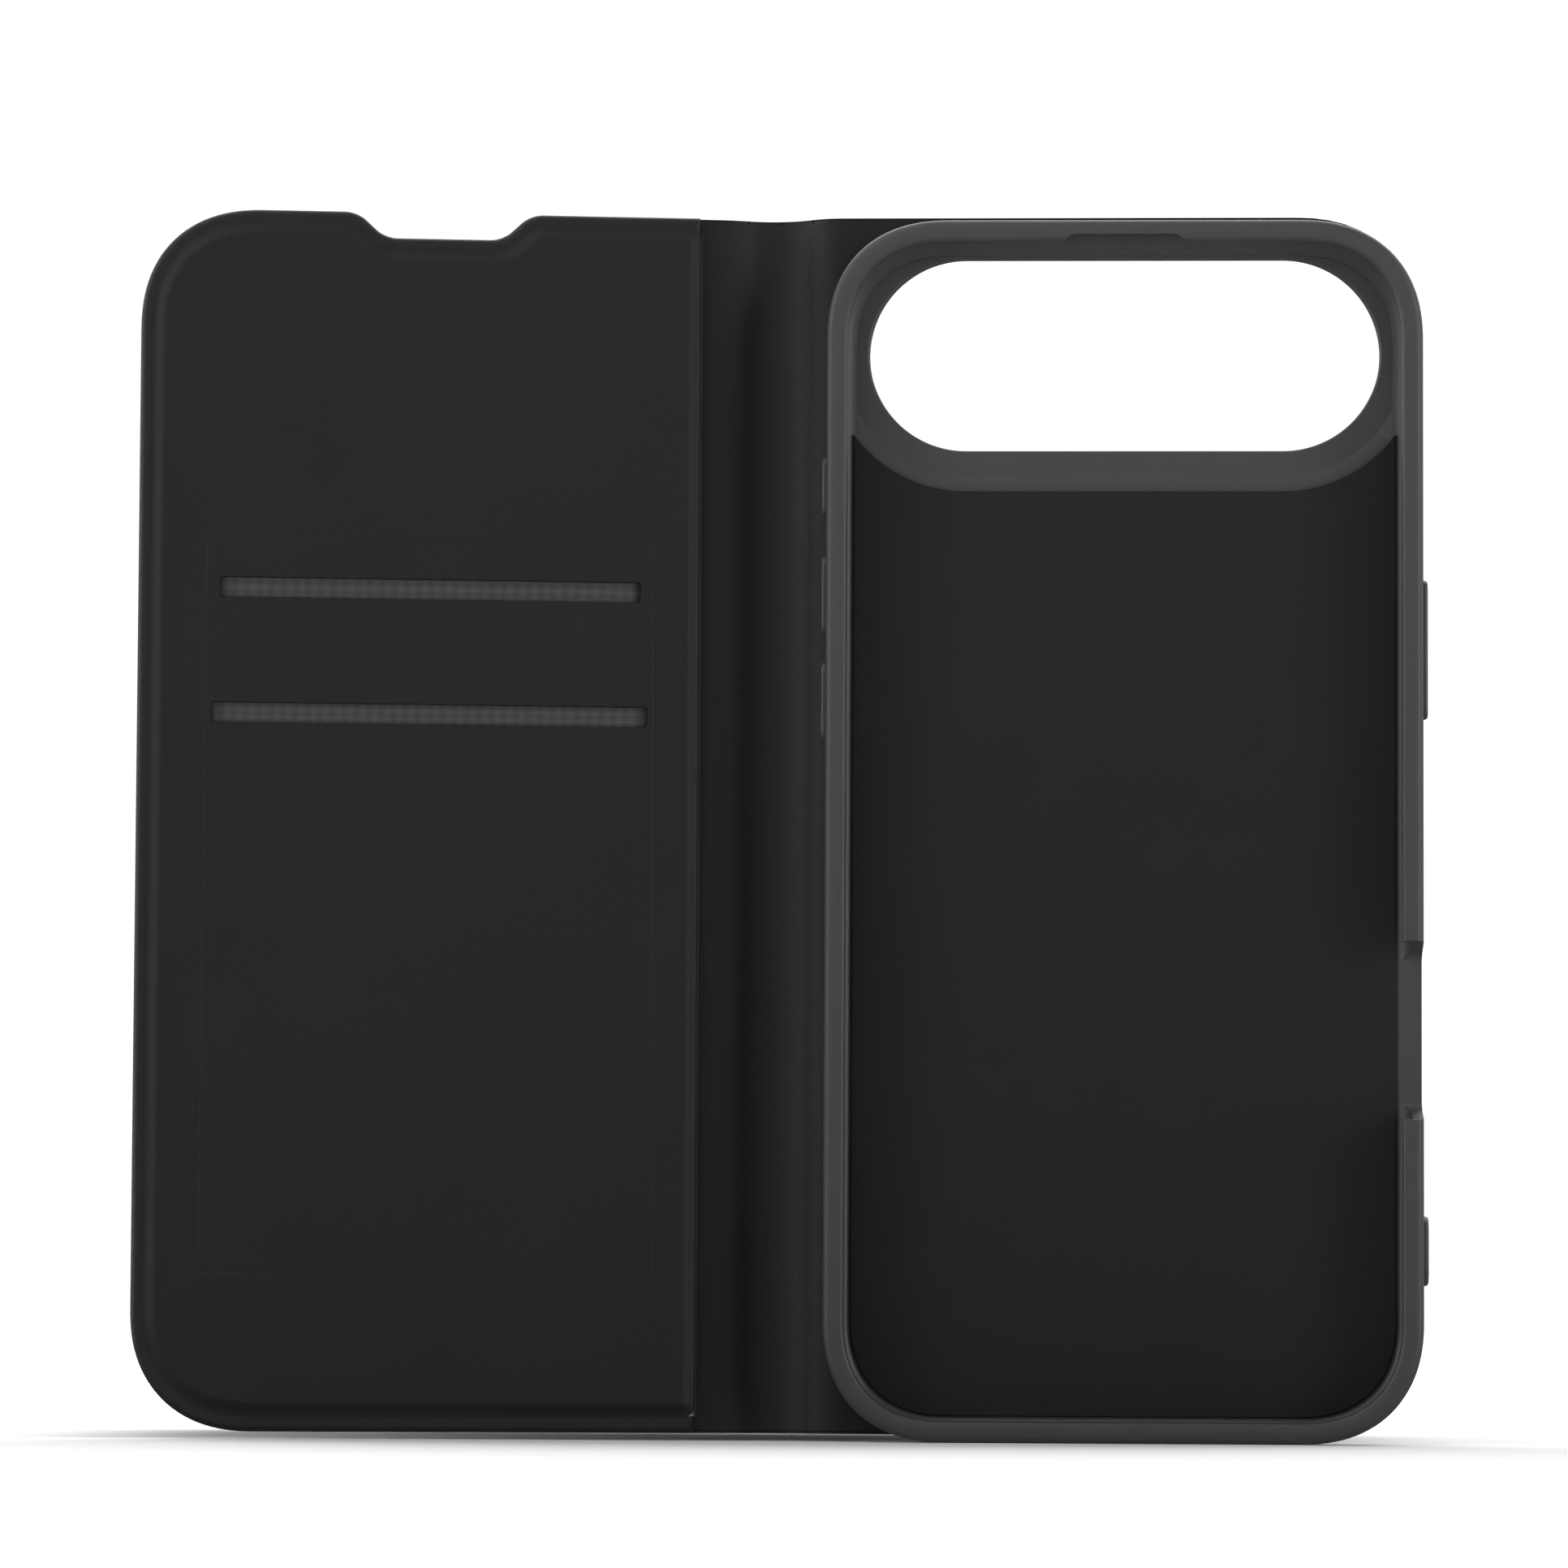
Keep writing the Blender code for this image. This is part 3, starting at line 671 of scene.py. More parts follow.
# %% Tray: camera window, its frame and its recess
WINDOW_WIDTH, WINDOW_HEIGHT, WINDOW_FROM_TOP = 66.9, 25.4, 4.1
WINDOW = (0.0, TRAY_HEIGHT - WINDOW_FROM_TOP - WINDOW_HEIGHT / 2), WINDOW_WIDTH, WINDOW_HEIGHT
RECESS_REACH, RECESS_SLOPE, RECESS_DEPTH = 3.4, 1.9, 0.5
FRAME_REACH = 2.6
FRAME_ROUND = 0.6
MOUTH = 0.35            # rounding of the window's edges

camera_frame = stadium(*WINDOW, FRAME_REACH, segments=32)
extrude(camera_frame, FRAME_BACK, (TRAY_BACK + FLOOR_FRONT) / 2)
round_edges(camera_frame, at_depth(FRAME_BACK), FRAME_ROUND, 5)
tray = combine(tray, camera_frame, "UNION")

recess = stadium(*WINDOW, RECESS_REACH, segments=32)
recess_front = extrude(recess, FLOOR_FRONT + RECESS_DEPTH, FLOOR_FRONT + RECESS_DEPTH - HAIR)
trace(recess, recess_front, [(-RECESS_SLOPE, RECESS_DEPTH - HAIR), (0.0, 0.3)], build=True)
bmesh.ops.recalc_face_normals(recess, faces=recess.faces)
INSIDE = WALL + FLOOR_ROUND * 0.86  # the recess stops in the fillet, before the wall
inside = rectangle(
    INSIDE - HALF, HALF - INSIDE, INSIDE, TRAY_HEIGHT - INSIDE, CORNER - INSIDE,
    CORNER_SEGMENTS, CORNER_PROFILE,
)
extrude(inside, TRAY_BACK, PHONE_FRONT)
tray = combine(tray, combine(recess, inside, "INTERSECT"))
window_punch = punch(stadium(*WINDOW, segments=32), FRAME_BACK, FLOOR_FRONT + RECESS_DEPTH, MOUTH)
tray = combine(tray, window_punch)
print("window cut, volume", round(tray.calc_volume() / 1000, 1), "cm3")

# %% [markdown]
# ## Openings in the walls
# The lower wall has a port and two rows of speaker holes, the right wall a long opening for a touch key, and
# the lip a shallow notch under the phone's earpiece. Each is a punch of its own: the round ones are turned to
# go through the wall, and the others are plain blocks with rounded corners.

# %% Tray: wall openings
KEY_PLANE = LINING_FRONT - (LINING_FRONT - PHONE_FRONT) / 2
TO_SIDE = Matrix.Rotation(math.radians(90), 4, "Z")
TO_FOOT = Matrix.Rotation(math.radians(-90), 4, "X")
PORT_LENGTH, PORT_WIDTH = 12.1, 4.0
SPEAKER_LENGTH, SPEAKER_WIDTH, SPEAKER_OFFSET = 11.0, 2.0, 17.5
SPEAKER_HOLES = 4
ALMOST_ROUND = 0.999    # a round hole keeps a trace of its straight part


def moved(bm, matrix):
    bmesh.ops.transform(bm, matrix=matrix, verts=bm.verts)
    return bm


punches = []
openings = [(0.0, PORT_LENGTH, PORT_WIDTH)]
pitch = SPEAKER_LENGTH / SPEAKER_HOLES
for side in (-1, 1):
    openings += [
        (side * SPEAKER_OFFSET + (hole - (SPEAKER_HOLES - 1) / 2) * pitch, SPEAKER_WIDTH, SPEAKER_WIDTH)
        for hole in range(SPEAKER_HOLES)
    ]
for offset, length, width in openings:
    hole = stadium((offset, 0.0), length, width * ALMOST_ROUND, segments=8)
    tool = punch(hole, 0.0, -WALL, FINE_ROUND, 3)
    punches.append(moved(tool, Matrix.Translation((0, KEY_PLANE, 0)) @ TO_FOOT))

TOUCH_FROM_TOP, TOUCH_LENGTH, TOUCH_SLOPE, TOUCH_SILL = 93.9, 23.7, 1.8, 1.6
TOUCH_ROUND = 1.0
touch_top = TRAY_HEIGHT - TOUCH_FROM_TOP
touch_bottom = touch_top - TOUCH_LENGTH
touch_sill = TRAY_BACK - TOUCH_SILL
touch_front = TRAY_FRONT - PAST
outline = [
    (touch_front, touch_bottom), (touch_sill, touch_bottom + TOUCH_SLOPE),
    (touch_sill, touch_top - TOUCH_SLOPE), (touch_front, touch_top),
]
touch = polygon(outline)
round_corners(touch, outline[1:3], TOUCH_ROUND, 6)
extrude(touch, -(HALF - LIP_WIDTH - 2 * PAST), -(HALF + PAST))
punches.append(moved(touch, TO_SIDE))

EAR_HALF, EAR_DEPTH, EAR_ROUND = 8.0, 0.9, 0.8
ear_low = TRAY_HEIGHT - LIP_WIDTH - PAST
ear_high = TRAY_HEIGHT - LIP_WIDTH + EAR_DEPTH
outline = [
    (-EAR_HALF - EAR_DEPTH, ear_low), (EAR_HALF + EAR_DEPTH, ear_low),
    (EAR_HALF - EAR_DEPTH, ear_high), (EAR_DEPTH - EAR_HALF, ear_high),
]
ear = polygon(outline)
round_corners(ear, outline[2:], EAR_ROUND, 4)
extrude(ear, PHONE_FRONT + GAP / 2, TRAY_FRONT - PAST)
punches.append(ear)
tray = combine(tray, joined(punches))
print("walls cut, volume", round(tray.calc_volume() / 1000, 1), "cm3")

# %% [markdown]
# ## Keys and the magnet's pad
# The side keys are soft caps in windows of the wall, which move in by a fraction of a millimetre. Their size
# and place are the model's. A cap is a stadium with a well-rounded outer edge, and the pad over the tray's
# magnet is the same shape, joined to the wall.

# %% Keys
KEY_STANDS = 0.65
KEY_ROUND = 0.42
KEY_FIT = 0.12          # visible gap round a key
MAGNET_WIDTH, MAGNET_DEPTH = 3.0, 1.0
PAD_BORDER = 0.7        # plastic round the magnet
PAD_SUNK = 0.4          # how far the pad reaches into the wall


def pill(low, high, width, inner, outer, rounding):
    """A pill shape on the right wall, from `inner` to `outer` outside the tray's side."""
    bm = rectangle(-width / 2, width / 2, low, high, width / 2 * ALMOST_ROUND, 9)
    bmesh.ops.remove_doubles(bm, verts=bm.verts, dist=MERGE)
    extrude(bm, -HALF - inner, -HALF - outer)
    if rounding:
        round_edges(bm, at_depth(-HALF - outer), rounding, 5)
    return moved(bm, Matrix.Translation((0, KEY_PLANE, 0)) @ TO_SIDE)


def on_wall(bm, side):
    """The same shape on the left wall, if side is -1."""
    if side < 0:
        moved(bm, Matrix.Scale(-1, 4, (1, 0, 0)))
        bmesh.ops.reverse_faces(bm, faces=bm.faces)
    return bm


windows = []
for body, node in (
    ("action_key", "action_key_cap"), ("volume_up_key", "volume_up_key_cap"),
    ("volume_down_key", "volume_down_key_cap"), ("power_key", "power_key_cap"),
):
    low, high = (in_tray_frame(corner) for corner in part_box(node))
    side = 1 if low.x > 0 else -1
    width = high.y - low.y
    window = pill(
        low.z - KEY_FIT, high.z + KEY_FIT, width + 2 * KEY_FIT, -WALL - PAST, PAST, 0.0
    )
    windows.append(on_wall(window, side))
    inner = (low.x if side > 0 else -high.x) - HALF
    cap = pill(low.z, high.z, width, inner, KEY_STANDS, KEY_ROUND)
    piece = finish_piece(body + "_soft_cap", on_wall(cap, side), key_plastic)
    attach(piece, body)
    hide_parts(node)
tray = combine(tray, joined(windows))

magnet_low, magnet_high = (in_tray_frame(corner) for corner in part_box("tray_magnet"))
pad = pill(
    magnet_low.z - PAD_BORDER, magnet_high.z + PAD_BORDER, MAGNET_WIDTH + 2 * PAD_BORDER,
    -PAD_SUNK, KEY_STANDS, KEY_ROUND,
)
tray = combine(tray, pad, "UNION")
seat_half = MAGNET_WIDTH / 2 + GAP
seat = rectangle(-seat_half, seat_half, magnet_low.z - GAP, magnet_high.z + GAP, 0.2)
extrude(seat, -HALF + WALL + PAST, -HALF + WALL - MAGNET_DEPTH - GAP)
tray = combine(tray, moved(seat, Matrix.Translation((0, KEY_PLANE, 0)) @ TO_SIDE))
tray_piece = finish_piece("tray_moulding", tray, tray_plastic)
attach(tray_piece, "tray_and_back")
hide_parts("tray_shell")

# %% [markdown]
# ## The floor's lining
# A thin microfibre is glued on the tray's floor, so that the phone's back isn't scratched. It stops at the
# camera recess. It is die-cut, so it is a plate here, with a stadium and a straight strip cut away.

# %% Floor lining
LINING_MARGIN = 3.4
LINING_FIT = 0.2        # from the recess to the lining

floor_cloth = rectangle(
    LINING_MARGIN - HALF, HALF - LINING_MARGIN, LINING_MARGIN, TRAY_HEIGHT - LINING_MARGIN,
    CORNER - LINING_MARGIN, CORNER_SEGMENTS, CORNER_PROFILE,
)
extrude(floor_cloth, FLOOR_FRONT - HAIR, LINING_FRONT)
round_edges(floor_cloth, at_depth(LINING_FRONT), FINE_ROUND, 3)
for cut_away in (
    stadium(*WINDOW, RECESS_REACH + RECESS_SLOPE + LINING_FIT, segments=32),
    rectangle(-HALF, HALF, WINDOW[0][1], TRAY_HEIGHT),
):
    extrude(cut_away, FLOOR_FRONT + PAST, LINING_FRONT - PAST)
    floor_cloth = combine(floor_cloth, cut_away)
floor_piece = finish_piece("floor_lining", floor_cloth, lining_cloth)
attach(floor_piece, "tray_and_back")
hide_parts("tray_floor_lining")

# %% [markdown]
# ## The leather, cut flat
# A case maker cuts the outer leather as one flat blank: back, spine and cover together, with a window for the
# camera frame and a notch in the cover's upper edge. The blank is made flat here too. Then it is sliced in
# the middle of each spine strip, so that each piece crosses one fold, and is folded.

# %% The blank's outline
LEATHER_LOW = in_tray_frame(back_low).z
LEATHER_HIGH = in_tray_frame(back_high).z
BACK_EDGE = in_tray_frame(back_high).x


def flat_box(node):
    """Lowest and highest corner of a node of the cover, on the flat leather."""
    turn = Matrix(((-directions[4].x, -directions[4].y), (directions[4].y, -directions[4].x)))
    points = []
    for vert in frame["nodes"][node].data.vertices:
        place = in_tray_frame(vert.co)
        across = turn @ (place.to_2d() - folds[3])
        points.append(Vector((across.x + COVER_FOLD_X, across.y + FOLD_Y, place.z)))
    return Vector(map(min, *points)), Vector(map(max, *points))


cover_low, cover_high = flat_box("front_cover_skin")
liner_low, liner_high = flat_box("front_liner_panel")
board_low, board_high = flat_box("front_stiffener_board")
FREE_EDGE = cover_low.x
COVER_FRONT = cover_low.y
LINER_FRONT = liner_low.y
print("cover", [round(c, 2) for c in (*cover_low, *cover_high)])
print("liner", [round(c, 2) for c in (*liner_low, *liner_high)])
print("board", [round(c, 2) for c in (*board_low, *board_high)])

NOTCH_FROM_FREE_EDGE, NOTCH_DEPTH = 39.5, 3.4
NOTCH_TOP_HALF, NOTCH_BOTTOM_HALF = 11.4, 7.7
NOTCH_ROUND = 1.5
NOTCH_X = FREE_EDGE + NOTCH_FROM_FREE_EDGE


def leather_face(inset, right_edge, right_corner=0.0, lower_inset=None):
    """The blank's outline inside its edge by `inset`, from the free edge to `right_edge`."""
    low = LEATHER_LOW + (inset if lower_inset is None else lower_inset)
    high = LEATHER_HIGH - inset
    left = FREE_EDGE + inset
    wider = inset * math.tan(math.atan2(NOTCH_DEPTH, NOTCH_TOP_HALF - NOTCH_BOTTOM_HALF) / 2)
    notch = [
        (NOTCH_X + side * (half + wider), high - depth)
        for side, half, depth in (
            (1, NOTCH_TOP_HALF, 0), (1, NOTCH_BOTTOM_HALF, NOTCH_DEPTH),
            (-1, NOTCH_BOTTOM_HALF, NOTCH_DEPTH), (-1, NOTCH_TOP_HALF, 0),
        )
    ]
    left_corners = [(left, high), (left, low)]
    right_corners = [(right_edge, low), (right_edge, high)]
    bm = polygon(right_corners + notch + left_corners)
    round_corners(bm, left_corners, CORNER - inset, CORNER_SEGMENTS, CORNER_PROFILE)
    round_corners(bm, notch, NOTCH_ROUND, 6)
    if right_corner:
        round_corners(bm, right_corners, right_corner, 12, CORNER_PROFILE)
    return bm


def slice_at(bm, x):
    """Cuts a line across the flat leather, to fold or to split it there."""
    everything = bm.verts[:] + bm.edges[:] + bm.faces[:]
    bmesh.ops.bisect_plane(bm, geom=everything, plane_co=(x, 0, 0), plane_no=(1, 0, 0))


def keep_between(bm, x0, x1):
    """A copy of the leather between two lines, with its cut ends closed."""
    part = bm.copy()
    for x, side in ((x0, -1), (x1, 1)):
        cut = bmesh.ops.bisect_plane(
            part, geom=part.verts[:] + part.edges[:] + part.faces[:],
            plane_co=(x, 0, 0), plane_no=(side, 0, 0), clear_outer=True,
        )
        ends = [e for e in cut["geom_cut"] if isinstance(e, bmesh.types.BMEdge) and e.is_boundary]
        if ends:
            bmesh.ops.holes_fill(part, edges=ends)
    return part


def add_fold_lines(bm, first, last, pitch=0.3):
    """Lines across the leather where it bends, close enough together for a smooth curve."""
    count = math.ceil((last - first) / pitch)
    for step in range(count + 1):
        slice_at(bm, first + (last - first) * step / count)


# %% [markdown]
# ## Outer leather
# On the back, the blank is only a sheet with softened edges. On the cover it is turned up round the board
# and over onto the inside, which shows as a flat border about two millimetres wide. The sheet is thickened
# there to a low block, whose edges are rounded, and the board's space is cut out of the block again.

# %% Outer leather: blank
SKIN = 0.58
SHEET_ROUND = 0.2
TURN_ROUND = 0.8
TURNED = 2.1            # width of the turned edge
FRAME_CLEAR = 0.12
EDGE_BY_SPINE = board_high.x


def on_back_and_spine(edge):
    """Says yes to the front edges of the sheet that isn't part of the cover."""
    return at_depth(-SKIN)(edge) and all(v.co.x > EDGE_BY_SPINE + 0.1 for v in edge.verts)


blank = leather_face(0.0, BACK_EDGE, CORNER)
extrude(blank, 0.0, -SKIN)
slice_at(blank, EDGE_BY_SPINE)
cover_face = max(
    (f for f in filter(at_depth(-SKIN), blank.faces) if f.calc_center_median().x < EDGE_BY_SPINE),
    key=lambda f: f.calc_area(),
)
made = bmesh.ops.extrude_face_region(blank, geom=[cover_face])
raised = [item for item in made["geom"] if isinstance(item, bmesh.types.BMVert)]
bmesh.ops.translate(blank, verts=raised, vec=(0.0, COVER_FRONT + SKIN, 0.0))
round_edges(blank, at_depth(0.0), TURN_ROUND, 5)
round_edges(blank, at_depth(COVER_FRONT), TURN_ROUND, 5)
round_edges(blank, on_back_and_spine, SHEET_ROUND, 3)

hollow = leather_face(TURNED, EDGE_BY_SPINE + PAST)
extrude(hollow, -SKIN - HAIR, COVER_FRONT - PAST)
blank = combine(blank, hollow)
round_frame = stadium(*WINDOW, FRAME_REACH + FRAME_CLEAR, segments=32)
blank = combine(blank, punch(round_frame, 0.0, -SKIN, FINE_ROUND, 3))
print("blank", len(blank.faces), "faces, volume", round(blank.calc_volume() / 1000, 2), "cm3")

# %% [markdown]
# ## Slicing and folding
# On the real case one sheet bends at all four folds. Here it is cut in the middle of each strip, where it
# lies flat, and each part is folded to the rest shape of the one fold that it crosses. The parts meet at the
# cuts.

# %% Outer leather: fold it
CUTS = [FOLD_X + ARM - place * STRIP for place in range(5)]


def folded_pieces(sheet, names, material, nodes, right, left):
    """Slices a flat sheet in mid strip, and folds each part, which crosses one fold, to its rest shape."""
    add_fold_lines(sheet, max(left, CUTS[4]), min(right, CUTS[0]))
    for fold, name in enumerate(names):
        part_right = right + PAST if fold == 0 else CUTS[fold]
        part_left = left - PAST if fold == 3 else CUTS[fold + 1]
        part = keep_between(sheet, part_left, part_right)
        piece = finish_piece(name, part, material, folded=True)
        world_point(CUTS[fold], FOLD_Y)
        world_point(CUTS[fold + 1], FOLD_Y)
        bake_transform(piece)
        if nodes[fold]:
            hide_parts(*nodes[fold])
    sheet.free()


folded_pieces(
    blank, ("back_leather", "spine_leather_1", "spine_leather_2", "cover_leather"),
    outer_leather,
    (("back_cover_skin",), ("spine_back_skin",), ("spine_middle_skin",),
     ("spine_front_skin", "front_cover_skin")),
    BACK_EDGE, FREE_EDGE,
)

# %% [markdown]
# ## Spine lining
# Inside, a second, thinner leather is glued to the first. It lies behind the tray, where it has the same hole
# for the camera frame, and runs on over the folds up to the cover's board. It is sliced and folded like the
# outer leather.

# %% Spine lining
LINING_BACK = -SKIN - 0.04
LINING_THICK = 0.24
LINING_INSET = 0.35
LINING_RIGHT = BACK_EDGE - LINING_INSET

lining_left = EDGE_BY_SPINE + HAIR
outline = [
    (lining_left, LEATHER_LOW + LINING_INSET), (LINING_RIGHT, LEATHER_LOW + LINING_INSET),
    (LINING_RIGHT, LEATHER_HIGH - LINING_INSET), (lining_left, LEATHER_HIGH - LINING_INSET),
]
strip = polygon(outline)
round_corners(strip, outline[1:3], CORNER - LINING_INSET, CORNER_SEGMENTS, CORNER_PROFILE)
extrude(strip, LINING_BACK, LINING_BACK - LINING_THICK)
round_edges(strip, at_depth(LINING_BACK - LINING_THICK), 0.1, 3)
hole = stadium(*WINDOW, FRAME_REACH + FRAME_CLEAR + 0.1, segments=32)
extrude(hole, LINING_BACK + PAST, LINING_BACK - LINING_THICK - PAST)
strip = combine(strip, hole)
folded_pieces(
    strip, ("spine_lining_1", "spine_lining_2", "spine_lining_3", "cover_lining"),
    inner_leather,
    (None, ("spine_back_lining",), ("spine_middle_lining",),
     ("spine_front_lining", "cover_margin_lining")),
    LINING_RIGHT, EDGE_BY_SPINE,
)

# %% [markdown]
# ## The liner
# The cover's inner panel is a thin board wrapped in smooth leather, glued over the turned edge. Its own edge
# is soft, and slopes down to the border in a wave, which a row of insets follows here. Pressing the panel
# over the card pocket leaves a faint outline, and the two slots are punched through. Both are real shape. By
# the spine the panel ends in a straight edge, and a strip of its leather is turned down there to the lining.

# %% Liner
LINER_BACK = COVER_FRONT - HAIR
SOFT_EDGE, SOFT_STEPS = 2.0, 8  # width of the panel's sloping edge, and the insets that trace it
LINER_OVERLAP = 0.9     # how far the slope runs out over the turned edge
LINER_RIM = 0.05        # what is left of its thickness there
LINER_INSET = liner_low.x - FREE_EDGE
LINER_LOWER_INSET = liner_low.z - LEATHER_LOW
LINER_EDGE = liner_high.x
HINGE_CORNER = 2.2
POCKET_X = FREE_EDGE + 38.1
POCKET_WIDTH, POCKET_BOTTOM, POCKET_HEIGHT = 59.2, 20.3, 96.5
SLOT_WIDTH, SLOT_ROUND = 2.6, 0.4
SLOTS = ((109.8, 55.1), (93.4, 57.0))  # height above the leather's lower edge, and length
PRESS_WIDTH, PRESS_DEPTH = 0.55, 0.10

liner = leather_face(
    LINER_INSET - LINER_OVERLAP, LINER_EDGE, HINGE_CORNER, LINER_LOWER_INSET - LINER_OVERLAP
)
liner_side = extrude(liner, LINER_BACK, LINER_BACK - LINER_RIM)
slope = [(1 - math.cos(math.pi * step / SOFT_STEPS)) / 2 for step in range(SOFT_STEPS + 1)]
raised = LINER_BACK - LINER_RIM - LINER_FRONT
trace(liner, liner_side, [
    (SOFT_EDGE / SOFT_STEPS, (there - here) * raised) for here, there in zip(slope, slope[1:])
], build=True)
pocket_left, pocket_right = POCKET_X - POCKET_WIDTH / 2, POCKET_X + POCKET_WIDTH / 2
pocket_low = LEATHER_LOW + POCKET_BOTTOM
pocket_high = pocket_low + POCKET_HEIGHT
for place, normal in (
    ((pocket_left, 0, 0), (1, 0, 0)), ((pocket_right, 0, 0), (1, 0, 0)),
    ((0, 0, pocket_low), (0, 0, 1)), ((0, 0, pocket_high), (0, 0, 1)),
):
    front = list(filter(at_depth(LINER_FRONT), liner.faces))
    around = {item for f in front for item in (*f.verts, *f.edges)}
    bmesh.ops.bisect_plane(liner, geom=[*around, *front], plane_co=place, plane_no=normal)
pocket_middle = Vector((POCKET_X, LINER_FRONT, (pocket_low + pocket_high) / 2))
pocket = min(
    filter(at_depth(LINER_FRONT), liner.faces),
    key=lambda f: (f.calc_center_median() - pocket_middle).length,
)
quarter = PRESS_WIDTH / 4
trace(liner, pocket, [(quarter, PRESS_DEPTH * part) for part in (0.3, 0.7, -0.7, -0.3)])

slot_punches = []
for above, length in SLOTS:
    z = LEATHER_LOW + above
    slot = rectangle(
        POCKET_X - length / 2, POCKET_X + length / 2,
        z - SLOT_WIDTH / 2, z + SLOT_WIDTH / 2, SLOT_ROUND,
    )
    slot_punches.append(punch(slot, LINER_BACK, LINER_FRONT, FINE_ROUND, 3))
liner = combine(liner, joined(slot_punches))
liner_piece = finish_piece("cover_liner", liner, inner_leather, folded=True)
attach(liner_piece, "front_cover")
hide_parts("front_liner_panel")

turn_in = rectangle(board_high.x + HAIR, LINER_EDGE - HAIR, board_low.z, board_high.z)
extrude(turn_in, LINING_BACK - LINING_THICK - HAIR, LINER_BACK - 0.2)
turn_in_piece = finish_piece("liner_turn_in", turn_in, inner_leather, folded=True)
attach(turn_in_piece, "front_cover")

# %% [markdown]
# ## Pocket cloth
# Behind each slot hangs a leaf of woven cloth, which keeps one card from the next. It is glued at the bottom
# of the pocket and swells forward behind its slot, where only a strip of it shows. A grid whose points are
# pushed forward by a smooth hump has that shape, and the Solidify modifier gives it the cloth's thickness.

# %% Pocket cloth
LEAF = 0.2
BEHIND_SLOT = 0.12      # from the liner's back to the cloth
HUMP_HALF = 7.5         # how far the swelling reaches above and below its slot
HUMP_SIDE = 1.5         # and how soon it begins beside the leaf's edges


def cloth_leaf(name, node, slot_above):
    """A leaf of cloth over a node's place, swelling forward behind the slot."""
    low, high = flat_box(node)
    bm = bmesh.new()
    bmesh.ops.create_grid(bm, x_segments=60, y_segments=90, size=0.5)
    size = Matrix.Diagonal((high.x - low.x, high.z - low.z, 1.0, 1.0))
    stand = Matrix.Rotation(math.radians(90), 4, "X")
    middle = Matrix.Translation(((low.x + high.x) / 2, high.y, (low.z + high.z) / 2))
    moved(bm, middle @ stand @ size)
    slot_z = LEATHER_LOW + slot_above
    forward_by = high.y - (LINER_BACK + BEHIND_SLOT + LEAF)
    for vert in bm.verts:
        height = max(0.0, 1 - abs(vert.co.z - slot_z) / HUMP_HALF)
        side = min(1.0, min(vert.co.x - low.x, high.x - vert.co.x) / HUMP_SIDE)
        vert.co.y -= forward_by * math.sin(height * math.pi / 2) ** 2 * side
    piece = finish_piece(name, bm, pocket_tape, folded=True)
    thick = piece.modifiers.new("cloth_thickness", "SOLIDIFY")
    thick.thickness, thick.offset = LEAF * MM, 1.0
    piece.modifiers.move(1, 0)
    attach(piece, "front_cover")
    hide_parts(node)


cloth_leaf("upper_pocket_cloth", "pocket_backing", SLOTS[0][0])
cloth_leaf("lower_pocket_cloth", "pocket_divider", SLOTS[1][0])

# %% [markdown]
# ## Studio
# The case stands on a pale table in front of a white background. The background is a large ball that only
# the camera sees, so that it adds no light of its own, and the table isn't seen in reflections, which keeps
# the black leather black. The cover stands a little above the table. A product studio lays a black card
# behind such an edge, so that no light comes through under it. The card here does the same, and the camera
# doesn't see it.

# %% Floor and background
ROOM_RADIUS = 4.0
FLOOR_DROP = 0.00002    # the case stands at Z = 0, just above the table
WHITE_GLOW = 1.1
GLOW_FROM = 0.9         # distance at which the table has its full glow
CARD_MIDDLE, CARD_SIZE = (-0.01, 0.052, 0.022), (0.165, 0.085)


def stage_material(name, colour, glow, glow_from=0.0):
    """A matt finish that may glow, from a distance in metres on, so that the far floor stays white."""
    material, wire, shader = start_material(name, colour, 0.9, 0.1)
    shader.inputs["Emission Color"].default_value = (1.0, 1.0, 1.0, 1.0)
    shader.inputs["Emission Strength"].default_value = glow
    if glow_from:
        place = wire.node("ShaderNodeTexCoord", output="Object")
        away = wire.node(
            "ShaderNodeVectorMath", {"operation": "LENGTH"}, {"Vector": place}, output="Value"
        )
        white = away.between(glow_from / 6, glow_from).times_colour((1.0, 1.0, 1.0))
        feed(white, shader, "Emission Color")
    return material


def stage_object(name, bm, material):
    obj = as_object(name, bm)
    obj.data.materials.append(material)
    return obj


floor = bmesh.new()
bmesh.ops.create_circle(floor, cap_ends=True, segments=96, radius=ROOM_RADIUS)
bmesh.ops.translate(floor, verts=floor.verts, vec=(0.0, 0.0, -FLOOR_DROP))
pale_floor = stage_material("pale_floor", (0.95, 0.95, 0.95), WHITE_GLOW, GLOW_FROM)
table = stage_object("floor", floor, pale_floor)
table.visible_glossy = False

card = bmesh.new()
bmesh.ops.create_grid(card, x_segments=1, y_segments=1, size=0.5)
bmesh.ops.scale(card, verts=card.verts, vec=(*CARD_SIZE, 1.0))
bmesh.ops.translate(card, verts=card.verts, vec=CARD_MIDDLE)
black_card = stage_object("black_card", card, stage_material("black_card", (0.02, 0.02, 0.02), 0.0))
black_card.visible_camera = False

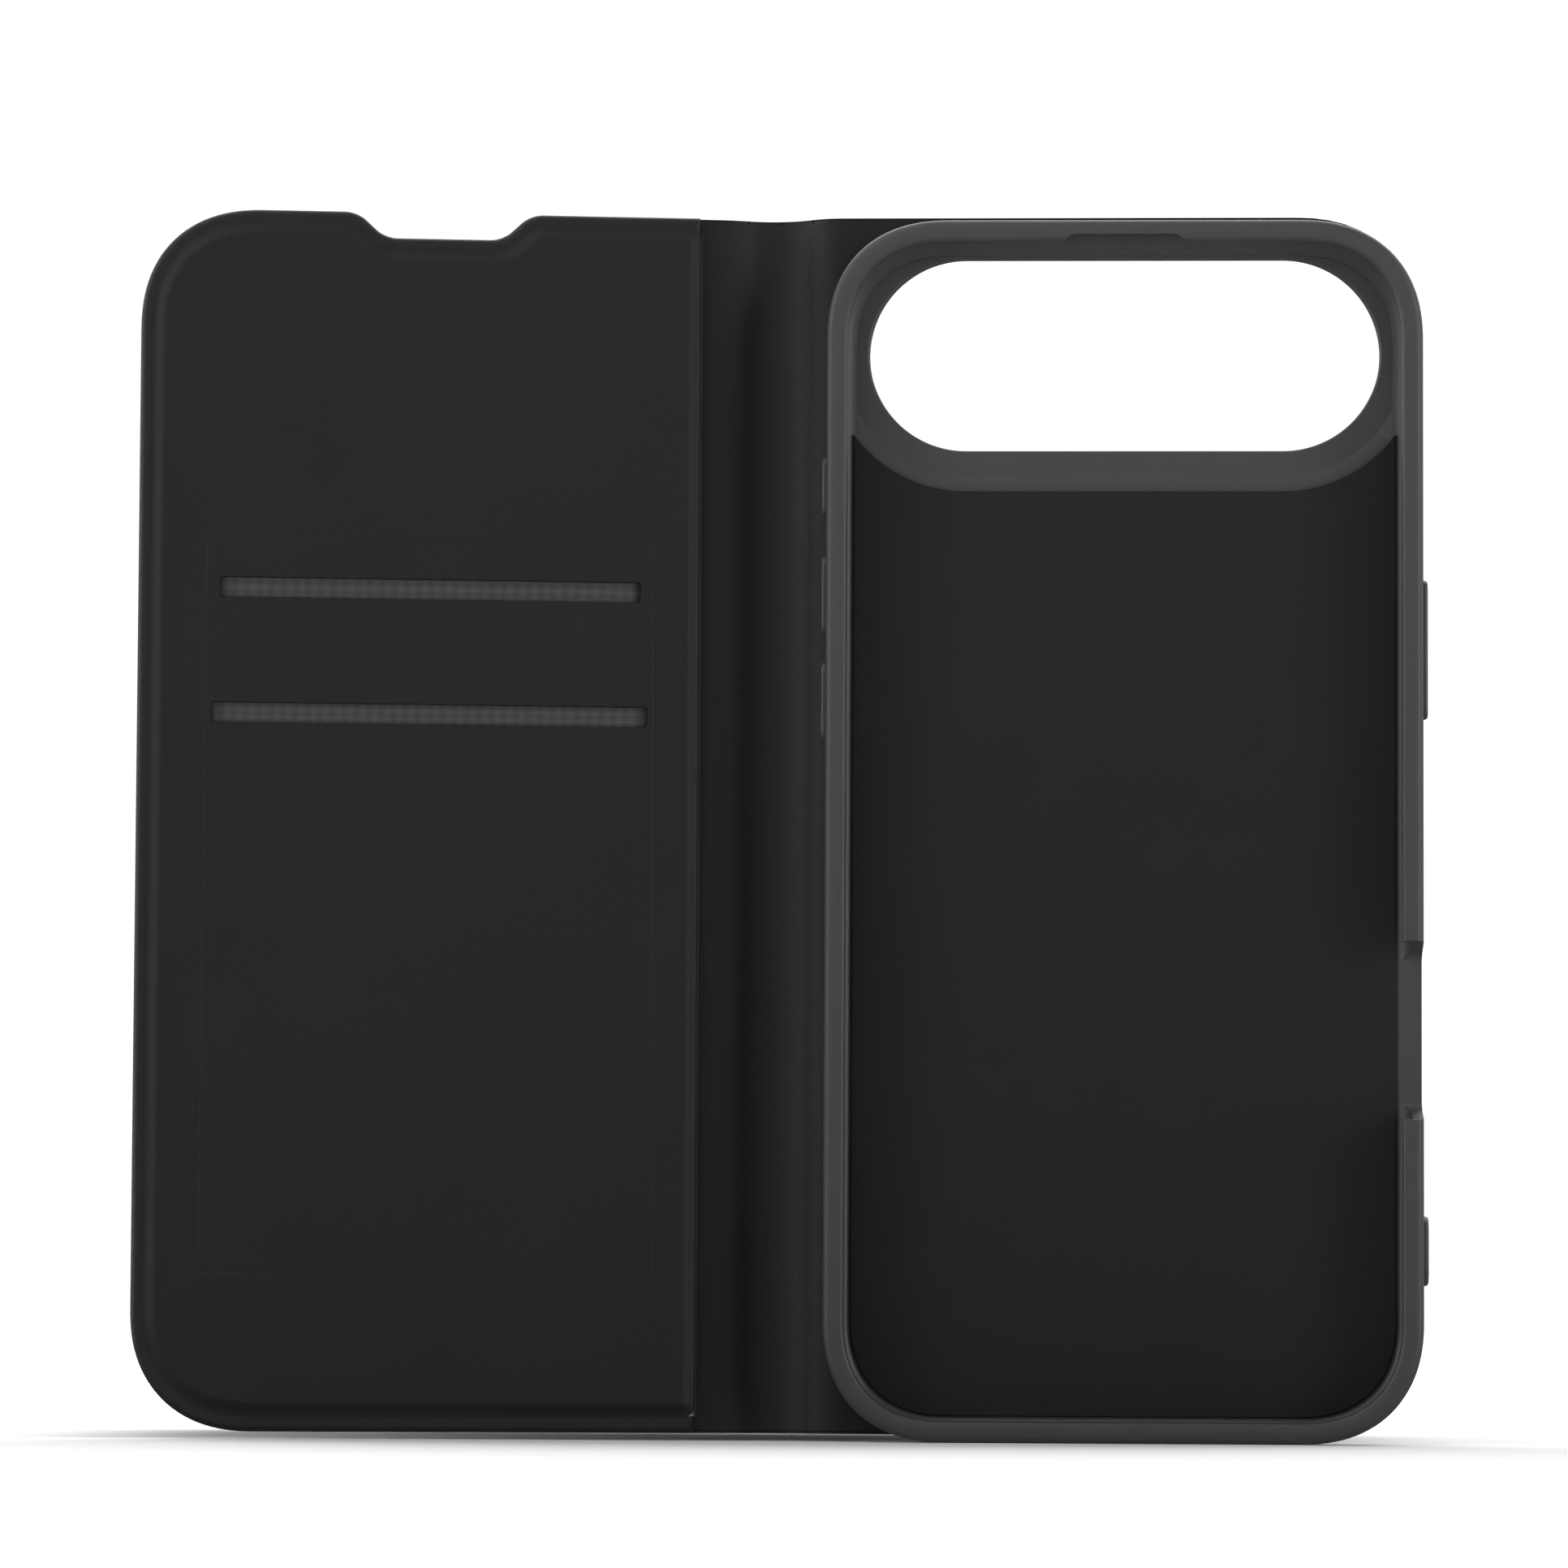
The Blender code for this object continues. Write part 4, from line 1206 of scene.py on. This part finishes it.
ball = bmesh.new()
bmesh.ops.create_uvsphere(ball, u_segments=48, v_segments=24, radius=ROOM_RADIUS)
white_background = stage_material("white_background", (0, 0, 0), WHITE_GLOW)
background = stage_object("background", ball, white_background)
for ray in ("diffuse", "glossy", "transmission", "shadow"):
    setattr(background, "visible_" + ray, False)
print("table", 2 * ROOM_RADIUS, "m across")

# %% [markdown]
# ## Lights
# Black things are lit by their edges. The strongest softbox hangs behind and above the case: it draws the
# light line along the tray's rim and throws a short shadow forward. Panels at both sides light the rims and
# the spine, two weak softboxes in front keep the leather's front from going quite black, and the white
# world is dim, so that the creases stay dark.

# %% Lights
world = bpy.data.worlds.new("studio")
bpy.context.scene.world = world
world.use_nodes = True
world.node_tree.nodes["Background"].inputs["Color"].default_value = (1.0, 1.0, 1.0, 1.0)
world.node_tree.nodes["Background"].inputs["Strength"].default_value = 0.12
AIM = (0.0, 0.0, 0.08)  # the middle of the case


def softbox(name, place, width, height, power):
    """A rectangular area light that looks at the case."""
    light = bpy.data.lights.new(name, "AREA")
    light.shape, light.size, light.size_y, light.energy = "RECTANGLE", width, height, power
    obj = bpy.data.objects.new(name, light)
    look = Vector(AIM) - Vector(place)
    obj.matrix_world = Matrix.Translation(place) @ look.to_track_quat("-Z", "Y").to_matrix().to_4x4()
    bpy.context.scene.collection.objects.link(obj)
    print(name, power, "W")


softbox("back_softbox", (0.0, 0.6, 0.95), 1.8, 1.1, 17.0)
softbox("left_softbox", (-1.3, -0.8, 0.4), 0.5, 0.8, 5.6)
softbox("right_softbox", (1.3, -0.8, 0.4), 0.5, 0.8, 7.4)
softbox("front_softbox", (0.0, -1.7, 0.45), 1.6, 0.45, 1.6)
softbox("high_softbox", (-0.4, -0.6, 1.0), 1.0, 0.7, 3.4)
softbox("left_panel", (-1.2, 0.05, 0.35), 0.5, 0.8, 3.5)
softbox("left_back_panel", (-1.0, 0.5, 0.4), 0.5, 0.9, 3.0)
softbox("right_back_panel", (1.0, 0.5, 0.4), 0.5, 0.9, 2.0)
